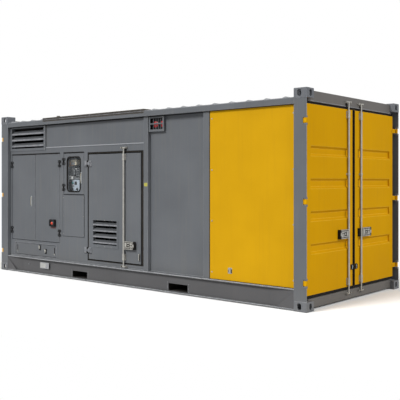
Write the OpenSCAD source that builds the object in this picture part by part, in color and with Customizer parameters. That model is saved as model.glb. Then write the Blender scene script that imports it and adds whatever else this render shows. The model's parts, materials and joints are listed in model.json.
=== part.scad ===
// Containerised diesel generator set: a corner-cast steel frame with acoustic
// side panels, side access doors, and a pair of swing doors at each end.
// Origin at the centre of the footprint, +X along the length, +Z up.
// "In" sizes are depths inward from the outer side or end plane.

/* [Envelope] */
// Overall length over the corner castings
length = 6058; // [5960:1:6160]
// Overall width over the corner castings
width = 2438; // [2400:1:2500]
// Overall height over the corner castings
height = 2591; // [2550:1:2700]

/* [Corner castings] */
// Casting size along the length
casting_l = 178; // [176:1:182]
// Casting size across the width
casting_w = 162; // [158:1:166]
// Casting height
casting_h = 118; // [114:1:122]
// Casting wall thickness
casting_wall = 28; // [20:1:32]
// Thickness of a casting's top or bottom plate
casting_plate_t = 24; // [18:1:28]
// Thickness of a casting's inner walls
casting_back_t = 10; // [8:1:16]
// Length of the lifting slot
slot_l = 124.5; // [110:0.5:126]
// Width of the lifting slot
slot_w = 63.5; // [56:0.5:66]
// Distance of the slot's centre from the casting's end face
slot_in_x = 102.5; // [99:0.5:106]
// Distance of the slot's centre from the casting's side face
slot_in_y = 89.5; // [87:0.5:92]
// Width of the upright holes in the casting's side and end
lash_hole_w = 51; // [40:1:56]
// Height of the upright holes in the casting's side and end
lash_hole_h = 79.5; // [66:0.5:84]

/* [Frame] */
// How far the posts stand behind the casting faces
post_in = 3; // [1:1:6]
// Thickness of a corner post's side plate
post_plate_t = 8; // [6:1:10]
// Depth of the corner post's box behind the end plane
post_box_in = 114; // [112:1:124]
// How far a hinge notch in the post reaches past the blade's eye
post_notch_past = 15; // [12:1:20]
// How far the side rails stand behind the casting faces
rail_in = 8; // [6:1:12]
// Height from the top side rail's underside to the castings' top
top_rail_drop = 181; // [170:1:200]
// Height of the top side rail
top_rail_h = 74; // [60:1:90]
// Wall thickness of the top side rail
rail_wall = 8; // [5:1:12]
// Height of the bottom rail's top face
bottom_rail_z = 256; // [250:1:262]
// Clearance under the bottom rail
rail_clear = 8; // [4:1:14]
// Thickness of the bottom rail's top flange
flange_t = 14; // [10:1:18]
// Thickness of the bottom rail's bottom flange
foot_flange_t = 16; // [10:1:18]
// How far the bottom rail's web stands behind the side plane
web_in = 55; // [50:1:70]
// Thickness of the bottom rail's web
web_t = 8; // [6:1:12]
// Length of the corner gusset's lead-out along the rail
gusset_l = 380; // [260:1:460]
// How far the lead-out stands behind the side plane at the post
gusset_in = 14; // [12:1:24]
// Length of the corner gusset's triangular plate
gusset_plate_l = 250; // [160:1:300]
// Height of the triangular plate at the post
gusset_plate_h = 200; // [120:1:212]
// How far the triangular plate stands behind the side plane
gusset_plate_in = 9; // [6:1:10]
// Thickness of the triangular plate
gusset_plate_t = 6; // [6:1:8]
// How far the door header and sill stand behind the end plane
beam_in = 60; // [58:1:70]
// Height from the door header's underside to the castings' top
header_under = 147; // [136:1:152]
// How far the door header stops below the castings' top
header_drop = 16; // [10:1:30]
// How far the left end's door header stops below the castings' top
left_header_drop = 64; // [10:1:66]
// Height of the door sill's top
sill_z = 132; // [126:1:136]
// Clearance under the door sill
sill_clear = 20; // [12:1:30]
// Overlap of the door stops behind the leaves
stop_lap = 36; // [25:1:50]
// Gap between a leaf's back and its door stop
stop_gap = 8; // [7:1:12]
// Height of the floor plate's underside
floor_z = 140; // [138:1:150]
// Thickness of the floor plate
floor_t = 10; // [6:1:16]
// Number of cross members under the floor
cross_count = 9; // [5:1:12]
// Flange width of a cross member
cross_w = 60; // [50:1:80]
// Plate thickness of a cross member
cross_t = 8; // [6:1:12]

/* [Fork pockets] */
// Centre of the first fork pocket from the left end
pocket_1_x = 2000; // [1960:1:2040]
// Centre of the second fork pocket from the left end
pocket_2_x = 4022; // [3980:1:4060]
// Inside width of a fork pocket
pocket_w = 345; // [330:1:360]
// Inside height of a fork pocket
pocket_h = 98; // [90:1:102]
// Height of a fork pocket's inside floor
pocket_z = 33; // [32:1:34]
// Wall thickness of a fork pocket
pocket_t = 6; // [4:1:7]

/* [Side walls] */
// How far the lower side wall stands behind the side plane
wall_in = 60; // [56:1:66]
// Depth of the inner face of the side walls
wall_back = 120; // [116:1:126]
// How far the upper panels stand behind the side plane
upper_in = 70; // [66:1:100]
// How far the grey panels stand behind the side plane
grey_in = 92; // [84:1:100]
// How far the yellow panel stands behind the side plane
yellow_in = 45; // [40:1:56]
// How far the wall posts stand behind the side plane
wall_post_in = 40; // [36:1:50]
// Height from the wall's fold to the top side rail
ledge_drop = 380; // [370:1:390]
// Left side of the first wall post
post_1_x = 3385; // [3376:1:3400]
// Width of the first wall post
post_1_w = 82; // [70:1:100]
// Left side of the second wall post
post_2_x = 4473; // [4400:1:4500]
// Width of the second wall post
post_2_w = 109; // [90:1:120]

/* [Air louvres] */
// Right side of the intake louvre
louvre_x1 = 1148; // [1100:1:1200]
// How far the intake louvre reaches below the wall's fold
louvre_drop = 29; // [20:1:40]
// How far the intake louvre stands behind the side plane
louvre_in = 52; // [48:1:58]
// Border of the intake louvre
louvre_border = 49; // [40:1:60]
// Height of the intake louvre's upper border
louvre_rim = 30; // [20:1:40]
// Height of the intake louvre's lower border
louvre_foot_rim = 46; // [20:1:50]
// Spacing of the intake louvre's slats
slat_pitch = 100; // [90:1:115]
// Height of the intake louvre's lowest lip over its opening's bottom
slat_foot = 27; // [20:1:44]
// Height left open between a lip and the slat below it
slat_see = 22; // [12:1:30]
// Least gap between the top slat and its opening
slat_head = 3; // [2:1:12]
// Thickness of a slat
slat_t = 5; // [3:1:8]
// Height of the upright lip on a slat
slat_lip = 16; // [10:1:24]
// How far the intake louvre's slats stand behind its face
slat_front = 6; // [2:1:12]
// How far the intake louvre's slats end before the wall's inner face
slat_back = 10; // [4:1:16]

/* [Cable doors] */
// Left side of the cable doorway
cable_x0 = 229; // [220:1:240]
// Right side of the cable doorway
cable_x1 = 1504; // [1490:1:1520]
// Where the two cable doors meet
cable_split_x = 868; // [820:1:920]
// Height of the cable doorway's bottom
cable_z0 = 531; // [520:1:545]
// Height from the side doorways' top to the wall's fold
door_top_drop = 88; // [76:1:96]
// Gap around a side door
door_gap = 8; // [7:1:10]
// Thickness of a cable or window door
door_t = 40; // [30:1:44]

/* [Cable cover] */
// Left side of the cable cover's recess
cover_x0 = 329; // [310:1:350]
// Right side of the cable cover's recess
cover_x1 = 1423; // [1400:1:1440]
// Height of the recess's bottom
cover_z0 = 289; // [284:1:300]
// Height of the recess's top
cover_z1 = 486; // [470:1:492]
// Depth of the recess
cover_recess = 24; // [16:1:30]
// Gap around the cable cover
cover_gap = 8; // [5:1:12]
// Thickness of the cable cover
cover_t = 22; // [12:1:28]
// Width of the cover's adjusting slots
cover_slot_w = 22; // [14:1:28]
// Height of the cover's adjusting slots
cover_slot_h = 120; // [80:1:140]
// Distance from the cover's ends to its slots
cover_slot_end = 43; // [30:1:60]

/* [Window door] */
// Left side of the window doorway
window_door_x0 = 1600; // [1590:1:1610]
// Right side of the window doorway
window_door_x1 = 2089; // [2080:1:2096]
// Left side of the window
window_x0 = 1687; // [1670:1:1700]
// Right side of the window
window_x1 = 2006; // [1980:1:2020]
// Height of the window
window_h = 536; // [500:1:560]
// Height from the window's top to the doorway's top
window_drop = 61; // [50:1:80]
// Height from the doorway's bottom to the window's bottom
window_sill = 47; // [40:1:60]
// Corner radius of the window
window_r = 62; // [40:1:80]
// Thickness of the glass
glass_t = 6; // [4:1:10]
// How far the glass stands behind the window door's face
glass_in = 8; // [4:1:14]
// Height of the bolted panel under the window door
access_h = 641; // [600:1:660]
// Gap between the bolted panel and the window doorway
access_gap = 5; // [3:1:10]
// How far the bolted panel laps the wall to the left
access_lap = 14; // [8:1:20]
// Thickness of the bolted panel
access_t = 4; // [2:1:6]

/* [Service door] */
// Left side of the service doorway
service_x0 = 2171; // [2166:1:2180]
// Right side of the service doorway
service_x1 = 3364; // [3350:1:3370]
// Height of the service doorway's bottom
service_z0 = 312; // [300:1:320]
// Thickness of the service door
service_t = 50; // [40:1:54]
// Gap at the service door's hinge edge
service_gap = 26; // [22:1:32]
// Gap under the service door
service_foot_gap = 23; // [20:1:32]
// Gap at the service door's free edge
service_free_gap = 54; // [50:1:60]
// Height of the service door's top gap
service_top_gap = 34; // [28:1:40]
// Clearance between the service door and its seal
seal_clear = 12; // [10:1:16]
// Centre of the locking bar from the left end
service_bar_x = 2984; // [2960:1:3020]
// Left side of the service door's louvre
vent_x0 = 2301; // [2280:1:2320]
// Right side of the service door's louvre
vent_x1 = 2816; // [2780:1:2840]
// Height of the service door louvre's bottom
vent_z0 = 564; // [550:1:590]
// Height of the service door louvre's top
vent_z1 = 924; // [900:1:950]
// Spacing of the service door louvre's slats
vent_pitch = 88; // [80:1:100]
// Height of the service door louvre's lowest lip over its bottom
vent_foot = 24; // [12:1:34]
// Width of the raised rim around the service door's louvre
vent_rim = 44; // [30:1:50]
// Width of the rim at the vent's free side
vent_rim_right = 30; // [20:1:40]
// Height of the rim over the vent
vent_rim_top = 8; // [6:1:20]
// How far the rim stands in front of the door
vent_rim_d = 5; // [3:1:8]
// How far the vent's slats stand in front of the door
vent_slat_front = 3; // [0:1:4]
// How far the vent's slats end before the door's back
vent_slat_back = 4; // [2:1:8]
// How far the service door's seal stands behind the wall's face
service_seal_in = 6; // [2:1:12]

/* [End doors] */
// How far the end leaves stand behind the end plane
leaf_in = 57; // [56:1:60]
// Thickness of an end leaf
leaf_t = 50; // [40:1:52]
// Gap from the side plane to the leaf's hinge edge
leaf_side = 87; // [80:1:95]
// Half of the gap between the two leaves
leaf_meet = 23; // [20:1:34]
// Gap between the header and the leaf
leaf_top_gap = 28; // [24:1:34]
// Gap between the sill and the leaf
leaf_foot_gap = 42; // [36:1:50]
// Running clearance of the rubber seals
seal_run = 6; // [5:0.5:8]
// Thickness of the rubber seals
seal_t = 20; // [14:1:26]
// Distance from a rubber seal's back to the leaf's inner face
seal_back = 12; // [8:1:14]
// How far a rubber seal reaches past the leaf's hinge edge
seal_reach = 12; // [8:1:14]
// Half of the gap between the two leaves' seals
seal_meet = 5; // [5:0.5:8]
// Number of pressed grooves in a leaf
groove_count = 4; // [2:1:5]
// Height of the lowest groove's centre
groove_z = 711; // [650:1:750]
// Distance from the highest groove's centre to the leaf's top
groove_top_drop = 550; // [500:1:600]
// Height of a groove
groove_h = 122; // [90:1:150]
// Depth of a groove
groove_d = 28; // [15:1:34]
// Distance from the leaf's edges to the groove's ends
groove_end = 96; // [80:1:130]

/* [End door hinges] */
// Pivot distance from the side plane
pivot_side = 20; // [20:0.5:21]
// Pivot distance from the end plane
pivot_end = 25; // [24:0.5:26]
// Height of the lowest hinge
hinge_z = 333; // [320:1:345]
// Distance from the top hinge to the leaf's top
hinge_top_drop = 205; // [180:1:230]
// Number of hinges on a leaf
hinge_count = 3; // [2:1:3]
// Radius of a hinge pin
pin_r = 8; // [6:0.5:9]
// Running clearance of the pins
pin_fit = 0.08; // [0.02:0.01:0.1]
// Radius of a hinge blade's eye
eye_r = 16; // [15:0.5:16]
// Height of a hinge blade
blade_h = 60; // [50:1:66]
// Thickness of a hinge blade
blade_t = 12; // [10:1:12]
// Length of a hinge blade over the leaf
blade_reach = 24; // [15:1:60]
// How far a hinge blade's root reaches behind the leaf's face
blade_root = 12; // [8:1:14]
// Height of a hinge lug
lug_h = 25; // [20:1:40]
// Clearance between blade and lugs
lug_gap = 1.5; // [1:0.5:3]
// Clearance of the notch around a blade
notch_clear = 6; // [5:1:10]

/* [Locking bars] */
// Distance of the bar's axis from the end or side plane
bar_in = 35; // [34:1:37]
// Distance of the bar's axis from the middle of the end
bar_off = 166; // [150:1:180]
// Radius of the bar's tube
bar_r = 13.5; // [12:0.5:17]
// Radius of the bar's ends
bar_end_r = 10; // [8:0.5:12]
// Running clearance of the bar in its guides
bar_fit = 0.1; // [0.05:0.01:0.1]
// Reach of a cam from the bar's axis
cam_reach = 40; // [38:1:50]
// Thickness of a cam
cam_t = 16; // [12:1:22]
// Thickness of a cam's hub around the bar's end
cam_hub = 6; // [4:1:8]
// Clearance between the cam and its keeper
cam_clear = 10; // [9:1:15]
// Thickness of a keeper's cheek
cheek_t = 8; // [6:1:16]
// How far a keeper's cheeks reach in front of the bar's axis
cheek_front = 18; // [12:1:22]
// Thickness of a keeper's back plate
keeper_t = 8; // [5:1:9]
// Height of a keeper
keeper_h = 36; // [34:1:56]
// Distance from the end doors' upper keepers to the castings' top
end_keeper_drop = 88; // [74:1:96]
// Height of the end doors' lower keepers
end_keeper_z0 = 98; // [90:1:105]
// Width of a bar guide
guide_w = 50; // [46:1:70]
// Wall of a bar guide in front of the bar
guide_wall = 5; // [3:1:8]
// Height of a bar guide
guide_h = 92; // [70:1:100]
// Height of the middle bar guide
mid_guide_h = 24; // [16:1:40]
// Upper guide's centre below the end doors' upper keeper
end_guide_down = 157; // [140:1:180]
// Lower guide's centre above the end doors' lower keeper
end_guide_up = 147; // [130:1:170]
// Middle guide's height above the end doors' lower keeper
end_guide_mid = 1500; // [1300:1:1560]
// Upper guide's centre below the service door's upper keeper
service_guide_down = 134; // [128:1:160]
// Lower guide's centre above the service door's lower keeper
service_guide_up = 138; // [125:1:160]
// Length of the bar's thick tube beyond its guides
tube_past = 8; // [0:1:16]
// Distance from the service door's lower keeper to its doorway
service_keeper_off = 30; // [26:1:34]
// Height of the service door's lock box centre
service_lock_z = 591; // [560:1:620]
// Height of the end doors' lock box centre
lock_z = 848; // [800:1:900]
// Length of a lock box from the bar's axis
lock_l = 246; // [220:1:280]
// Height of a lock box
lock_h = 112; // [100:1:130]
// Wall thickness of a lock box
lock_t = 6; // [4:1:9]
// Gap between the bar and its lock box
lock_bar_gap = 8; // [5:1:12]
// How far a lock box stands in front of the bar's axis
lock_front = 20; // [14:1:24]
// Length of the handle lever from the bar's axis
lever_l = 216; // [190:1:220]
// Height of the handle lever
lever_h = 34; // [24:1:44]
// Thickness of the handle lever
lever_t = 12; // [8:1:16]

/* [Small gear] */
// Width of the hold-back clip on an end leaf
clip_w = 46; // [30:1:60]
// Height of the hold-back clip
clip_h = 70; // [50:1:90]
// How far the hold-back clip stands out
clip_d = 18; // [10:1:24]
// Distance of the hold-back clip from the leaf's free edge
clip_edge = 14; // [8:1:24]
// Height of the hold-back clip's bottom
clip_z0 = 380; // [360:1:420]
// Left side of the service door's hook
hook_x0 = 3276; // [3260:1:3284]
// Width of the service door's hook
hook_w = 22; // [14:1:26]
// Height of the service door's hook
hook_h = 108; // [80:1:130]
// How far the service door's hook stands out
hook_d = 20; // [12:1:26]
// Height of the hook's bottom
hook_z0 = 376; // [360:1:400]

/* [Side hinges] */
// Knuckle radius of a black side hinge
knuckle_r = 10; // [9:0.5:11]
// Pin radius of a side hinge
side_pin_r = 4; // [3:0.5:5]
// Height of a black side hinge
black_hinge_h = 112; // [90:1:130]
// Plate width of a black side hinge
black_plate_w = 30; // [24:1:36]
// Plate thickness of a side hinge
hinge_plate_t = 6; // [4:1:8]
// Knuckle radius of a service door hinge
service_knuckle_r = 14; // [13:0.5:16]
// Height of a service door hinge
service_hinge_h = 92; // [80:1:110]
// Plate width of a service door hinge
service_plate_w = 81; // [60:1:90]
// Lower service door hinge above the doorway's bottom
service_hinge_up = 155; // [120:1:200]
// Upper service door hinge below the doorway's top
service_hinge_down = 170; // [120:1:200]
// Lower cable door hinge above the doorway's bottom
cable_hinge_up = 159; // [120:1:200]
// Upper cable door hinge below the doorway's top
cable_hinge_down = 162; // [120:1:200]
// Lower window door hinge above the doorway's bottom
window_hinge_up = 112; // [90:1:150]
// Upper window door hinge below the doorway's top
window_hinge_down = 128; // [90:1:150]
// Gap between knuckles
knuckle_gap = 1; // [0.5:0.5:2]
// Share of a hinge's height taken by each end knuckle
knuckle_share = 0.3; // [0.26:0.01:0.34]

/* [Fittings] */
// Left side of the lamp guard
guard_x0 = 3470; // [3468:1:3500]
// Width of the lamp guard
guard_w = 290; // [288:1:340]
// Height of the lamp guard
guard_h = 208; // [200:1:240]
// Gap between the lamp guard and the top side rail
guard_gap = 12; // [2:1:14]
// How far the lamp guard stands behind the side plane
guard_in = 54; // [20:1:60]
// Rim width of the lamp guard
guard_rim = 28; // [24:1:56]
// Height of the lamp guard's upper rim
guard_rim_z = 22; // [18:1:40]
// Height of the lamp guard's lower rim
guard_foot_rim = 32; // [18:1:44]
// Number of mesh openings in a row of the lamp guard
guard_cols = 5; // [3:1:7]
// Bar width of the lamp guard
guard_bar = 10; // [8:1:14]
// Radius of a lamp
lamp_r = 42; // [28:1:42]
// Centre of the first lamp from the guard's left side
lamp_1_off = 108; // [84:1:120]
// Centre of the second lamp from the guard's left side
lamp_2_off = 236; // [210:1:236]
// Thickness of a lamp's base
lamp_base = 6; // [3:1:10]
// How far a lamp's dome rises from its base
lamp_dome = 12; // [6:1:16]
// Width of a swing handle
handle_w = 24; // [18:1:30]
// Height of a swing handle
handle_h = 170; // [140:1:190]
// How far a swing handle stands out
handle_d = 24; // [16:1:30]
// Distance of the cable door's handle from its free edge
handle_edge = 80; // [60:1:110]
// Height of the cable door's handle
cable_handle_z = 1093; // [1060:1:1130]
// Gap between the window and its door's handle
handle_gap = 10; // [6:1:14]
// Height of the window door's handle above the window's bottom
window_handle_up = 127; // [100:1:160]
// Left side of the stop box
stop_x0 = 1261; // [1240:1:1280]
// Width of the stop box
stop_w = 158; // [130:1:170]
// Height of the stop box's bottom
stop_z0 = 786; // [770:1:800]
// Height of the stop box
stop_h = 113; // [100:1:130]
// Depth of the stop box
stop_d = 44; // [36:1:50]
// Depth of the control cabinet behind the wall
cabinet_d = 180; // [140:1:240]
// Sheet thickness of the control cabinet
cabinet_t = 6; // [4:1:10]
// How far the control cabinet reaches past the window doorway
cabinet_lap = 10; // [6:1:20]
// How far the wire duct and the controller reach past the window
gear_past = 20; // [0:1:30]
// Width of the wire duct
duct_w = 60; // [40:1:80]
// Depth of the wire duct
duct_d = 80; // [50:1:100]
// Distance from the window's top to the wire duct
duct_drop = 180; // [160:1:220]
// Number of relays
relay_count = 6; // [3:1:6]
// Width of a relay
relay_w = 32; // [20:1:34]
// Spacing of the relays
relay_pitch = 42; // [36:1:44]
// Depth of a relay
relay_d = 70; // [40:1:90]
// Height of a relay
relay_h = 90; // [60:1:100]
// Distance from the window's top to the relays
relay_drop = 60; // [40:1:70]
// Distance from the window's top to the terminal row
terminal_drop = 220; // [190:1:240]
// Height of the terminal row
terminal_h = 80; // [50:1:90]
// Depth of the terminal row
terminal_d = 50; // [30:1:70]
// Distance from the wire duct to the controller
controller_off = 80; // [40:1:100]
// Height of the controller
controller_h = 190; // [150:1:210]
// Depth of the controller
controller_d = 110; // [80:1:130]

/* [Roof] */
// Thickness of the roof sheet
roof_t = 6; // [4:1:10]
// Distance of the roof sheet's edge from the rail's face
roof_edge = 12; // [8:1:20]
// Height of a roof rib
rib_h = 20; // [14:1:26]
// Spacing of the roof ribs
rib_pitch = 270; // [240:1:320]
// Width of a rib at its foot
rib_w = 130; // [100:1:160]
// Width of a rib at its top
rib_top_w = 65; // [40:1:80]
// Distance of a rib's end from the rail's face
rib_end = 24; // [20:1:40]
// Left side of the roof hatch
hatch_x0 = 1139; // [1120:1:1160]
// Right side of the roof hatch
hatch_x1 = 3420; // [3380:1:3460]
// Height of the roof hatch above the rail
hatch_h = 30; // [20:1:40]
// Depth of the hatch's skirt below its top
skirt_h = 58; // [50:1:70]
// Thickness of the hatch's skirt
skirt_t = 4; // [3:1:5]
// Distance of the hatch's lifting lug from its left side
lug_off = 344; // [300:1:460]
// Size of a lifting lug's foot
lug_w = 40; // [30:1:60]
// Distance of a lifting lug from the skirt's face
lug_in = 10; // [5:1:20]
// Height of a lifting lug over the hatch
lug_rise = 16; // [8:1:20]

/* [Hidden] */
$fn = 48;
tiny = 0.01;
over = 1;

// Colours
grey = "#6e7076";
yellow = "#d9a51c";
galvanised = "#b9b8b2";
rubber = "#1c1b1a";
black = "#232323";
silver = "#9a9a94";
dark = "#4b4844";
lamp_red = "#b01818";
switchgear = "#55585c";
glass_tint = [0.6, 0.7, 0.75, 0.35];

// Derived levels and depths
half_l = length / 2;
half_w = width / 2;
post_top_z = height - casting_h;
top_rail_z = height - top_rail_drop;
header_z = height - header_under;
ledge_z = top_rail_z - ledge_drop;
louvre_z0 = ledge_z - louvre_drop;
door_top_z = ledge_z - door_top_drop;
window_z1 = door_top_z - window_drop;
window_z0 = window_z1 - window_h;
window_door_z0 = window_z0 - window_sill;
end_keeper_z1 = height - end_keeper_drop;
frame_d = casting_l;
rail_top_z = top_rail_z + top_rail_h;
header_top_z = height - header_drop;
left_header_top_z = height - left_header_drop;
web_z = [rail_clear + foot_flange_t, bottom_rail_z - flange_t];
ledge_rise = upper_in - wall_in;
panel_right_x = length - casting_l;
leaf_z0 = sill_z + leaf_foot_gap;
leaf_z1 = header_z - leaf_top_gap;
stop_in = leaf_in + leaf_t + stop_gap;
seal_in = leaf_in + leaf_t - seal_back - seal_t;
pocket_half = pocket_w / 2 + pocket_t;
pocket_top_z = pocket_z + pocket_h;
blade_top_in = leaf_in - blade_t;
hinge_pitch = (leaf_z1 - hinge_top_drop - hinge_z) / (hinge_count - 1);
hinge_levels = [for (i = [0:hinge_count - 1]) hinge_z + i * hinge_pitch];
groove_pitch = (leaf_z1 - groove_top_drop - groove_z) / (groove_count - 1);
cam_room = cam_reach + cam_clear;
cam_l = sqrt(pow(cam_reach, 2) - pow(bar_end_r, 2));
service_axis_x = service_x0 + service_gap / 2;
cable_left_axis_x = cable_x0 + door_gap / 2;
cable_right_axis_x = cable_x1 - door_gap / 2;
window_axis_x = window_door_x0 + door_gap / 2;
black_axis_in = wall_in - knuckle_r;
service_axis_in = wall_in - service_knuckle_r;
service_hinge_levels = [service_z0 + service_hinge_up, door_top_z - service_hinge_down];
cable_hinge_levels = [cable_z0 + cable_hinge_up, door_top_z - cable_hinge_down];
window_hinge_levels = [window_door_z0 + window_hinge_up, door_top_z - window_hinge_down];
service_leaf_x0 = service_x0 + service_gap;
service_leaf_x1 = service_x1 - service_free_gap;
service_leaf_z0 = service_z0 + service_foot_gap;
service_leaf_z1 = door_top_z - service_top_gap;
service_keeper_z0 = service_z0 - service_keeper_off;
service_keeper_z1 = door_top_z + door_top_drop / 2;
guard_x1 = guard_x0 + guard_w;
guard_z1 = top_rail_z - guard_gap;
guard_z0 = guard_z1 - guard_h;
lamp_ball_r = (pow(lamp_r, 2) + pow(lamp_dome, 2)) / (2 * lamp_dome);
gear_back = wall_back + cabinet_d - cabinet_t;
duct_x1 = window_x0 - gear_past + duct_w;

// A block on the front side: x from the left end, d inward from the side plane.
module slab(x, d, z)
  translate([x[0] - half_l, d[0] - half_w, z[0]])
    cube([x[1] - x[0], d[1] - d[0], z[1] - z[0]]);

// A block on the right end: d inward from the end plane, s from the front side plane.
module end_slab(d, s, z)
  translate([half_l - d[1], s[0] - half_w, z[0]])
    cube([d[1] - d[0], s[1] - s[0], z[1] - z[0]]);

// An upright cylinder at x from the left end and d behind the front side plane.
module side_post(x, d, r, z)
  translate([x - half_l, d - half_w, z[0]])
    cylinder(r = r, h = z[1] - z[0]);

// An upright cylinder at d behind the right end plane and s from the front side plane.
module end_post(d, s, r, z)
  translate([half_l - d, s - half_w, z[0]])
    cylinder(r = r, h = z[1] - z[0]);

// A profile of [d, z] points behind the front side plane, extruded along x.
module side_profile(x, points)
  translate([x[1] - half_l, -half_w, 0])
    rotate([90, 0, -90])
      linear_extrude(height = x[1] - x[0])
        polygon([for (p = points) [-p[0], p[1]]]);

module both_sides() {
  children();
  mirror([0, 1, 0]) children();
}

module both_ends() {
  children();
  mirror([1, 0, 0]) children();
}

// ---------------------------------------------------------------- frame

// One casting in the right front corner at height z, with its lifting slot over slot_z.
module casting(z, slot_z) {
  slot_half = (slot_l - slot_w) / 2;
  mid_z = z + casting_h / 2;
  upright = (lash_hole_h - lash_hole_w) / 2;
  difference() {
    end_slab([0, casting_l], [0, casting_w], [z, z + casting_h]);
    end_slab([casting_wall, casting_l - casting_back_t], [casting_wall, casting_w - casting_wall],
             [z + casting_plate_t, z + casting_h - casting_plate_t]);
    for (s = [-1, 1])
      end_post(slot_in_x + s * slot_half, slot_in_y, slot_w / 2, slot_z);
    end_slab([slot_in_x - slot_half, slot_in_x + slot_half],
             [slot_in_y - slot_w / 2, slot_in_y + slot_w / 2], slot_z);
    end_slab([slot_in_x - lash_hole_w / 2, slot_in_x + lash_hole_w / 2], [-over, casting_wall + over],
             [mid_z - upright, mid_z + upright]);
    end_slab([-over, casting_wall + over], [slot_in_y - lash_hole_w / 2, slot_in_y + lash_hole_w / 2],
             [mid_z - upright, mid_z + upright]);
    for (s = [-1, 1]) {
      translate([half_l - slot_in_x, -half_w - over, mid_z + s * upright])
        rotate([-90, 0, 0]) cylinder(r = lash_hole_w / 2, h = casting_wall + 2 * over);
      translate([half_l + over, slot_in_y - half_w, mid_z + s * upright])
        rotate([0, -90, 0]) cylinder(r = lash_hole_w / 2, h = casting_wall + 2 * over);
    }
  }
}

module corner_castings()
  color(grey)
    both_ends() both_sides() {
      casting(0, [-over, casting_plate_t + over]);
      casting(post_top_z, [height - casting_plate_t - over, height + over]);
    }

// Corner post: a side plate with hinge notches, and a box behind the leaf.
module corner_post()
  difference() {
    union() {
      end_slab([post_in, casting_l], [post_in, post_in + post_plate_t], [casting_h, post_top_z]);
      end_slab([post_box_in, casting_l], [post_in + post_plate_t - tiny, wall_back],
               [casting_h, post_top_z]);
    }
    for (z = hinge_levels)
      end_slab([-over, pivot_end + eye_r + post_notch_past], [-over, post_in + post_plate_t + tiny],
               [z - blade_h / 2 - notch_clear, z + blade_h / 2 + notch_clear]);
  }

module corner_posts()
  color(grey) both_ends() both_sides() corner_post();

// Top and foot flanges of the bottom side rails.
module bottom_rail_flanges()
  color(grey) both_sides() {
    slab([casting_l, panel_right_x], [rail_in, wall_back],
         [bottom_rail_z - flange_t, bottom_rail_z]);
    slab([casting_l, panel_right_x], [rail_in, wall_back],
         [rail_clear, rail_clear + foot_flange_t]);
  }

// Webs of the bottom side rails, left open where the fork pockets pass.
module bottom_rail_webs()
  color(grey) both_sides()
    for (x = [[casting_l, pocket_1_x - pocket_half], [pocket_1_x + pocket_half, pocket_2_x - pocket_half],
              [pocket_2_x + pocket_half, panel_right_x]])
      slab(x, [web_in, web_in + web_t], web_z);

// Corner gusset: the web's sloping lead-out to the post, and a triangular plate on it.
module rail_gusset()
  translate([-half_l, -half_w, 0]) union() {
    translate([0, 0, web_z[0]])
      linear_extrude(height = web_z[1] - web_z[0])
        polygon([[casting_l, web_in], [casting_l, gusset_in], [casting_l + gusset_l, web_in]]);
    translate([casting_l, gusset_plate_in + gusset_plate_t, web_z[0]])
      rotate([90, 0, 0])
        linear_extrude(height = gusset_plate_t)
          polygon([[0, 0], [gusset_plate_l, 0], [0, gusset_plate_h]]);
  }

module rail_gussets()
  color(grey) both_ends() both_sides() rail_gusset();

module top_side_rails()
  color(grey) both_sides() difference() {
    slab([casting_l, panel_right_x], [rail_in, wall_back], [top_rail_z, rail_top_z]);
    slab([casting_l - over, panel_right_x + over], [rail_in + rail_wall, wall_back - rail_wall],
         [top_rail_z + rail_wall, rail_top_z - rail_wall]);
  }

module door_header(top)
  union() {
    end_slab([beam_in, frame_d], [casting_w, width - casting_w], [post_top_z, top]);
    end_slab([beam_in, frame_d], [wall_back, width - wall_back], [header_z, post_top_z]);
    end_slab([stop_in, frame_d], [wall_back, width - wall_back],
             [leaf_z1 - stop_lap, header_z]);
  }

module door_headers()
  color(grey) {
    door_header(header_top_z);
    mirror([1, 0, 0]) door_header(left_header_top_z);
  }

module door_sills()
  color(grey) both_ends() union() {
    end_slab([beam_in, frame_d], [casting_w, width - casting_w], [sill_clear, casting_h]);
    end_slab([beam_in, frame_d], [wall_back, width - wall_back], [casting_h, sill_z]);
    end_slab([stop_in, frame_d], [wall_back, width - wall_back], [sill_z, leaf_z0 + stop_lap]);
  }

// Channel section across the base, under the floor and clear of the fork pockets.
module cross_member(x)
  for (part = [[0, cross_t, rail_clear + foot_flange_t, floor_z],
               [0, cross_w, floor_z - cross_t, floor_z],
               [0, cross_w, rail_clear + foot_flange_t, rail_clear + foot_flange_t + cross_t]])
    slab([x + part[0], x + part[1]], [web_in + web_t, width - web_in - web_t], [part[2], part[3]]);

// Cross members stand evenly along the base and leave out the fork pockets' places.
module cross_members() {
  pitch = (panel_right_x - casting_l) / (cross_count + 1);
  reach = pocket_half + cross_w;
  color(grey)
    for (i = [1:cross_count]) {
      x = casting_l + i * pitch;
      if (abs(x - pocket_1_x) > reach && abs(x - pocket_2_x) > reach) cross_member(x);
    }
}

// Upper and lower plates of the fork pockets.
module fork_pocket_plates()
  color(grey)
    for (x = [pocket_1_x, pocket_2_x], z = [pocket_z - pocket_t, pocket_top_z])
      slab([x - pocket_half, x + pocket_half], [web_in, width - web_in], [z, z + pocket_t]);

// Side plates of the fork pockets, and the web plates that stand over their mouths.
module fork_pocket_webs()
  color(grey)
    for (x = [pocket_1_x, pocket_2_x]) {
      for (s = [x - pocket_half, x + pocket_half - pocket_t])
        slab([s, s + pocket_t], [web_in, width - web_in], [pocket_z, pocket_top_z]);
      both_sides()
        slab([x - pocket_half, x + pocket_half], [web_in, web_in + web_t],
             [pocket_top_z + pocket_t, web_z[1]]);
    }

module floor_plate()
  color(silver)
    slab([frame_d, length - frame_d], [web_in + web_t, width - web_in - web_t],
         [floor_z, floor_z + floor_t]);

// ---------------------------------------------------------------- side walls

module wall_posts()
  color(grey) both_sides()
    for (p = [[post_1_x, post_1_w], [post_2_x, post_2_w]])
      slab([p[0], p[0] + p[1]], [wall_post_in, wall_back], [bottom_rail_z, top_rail_z]);

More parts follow.
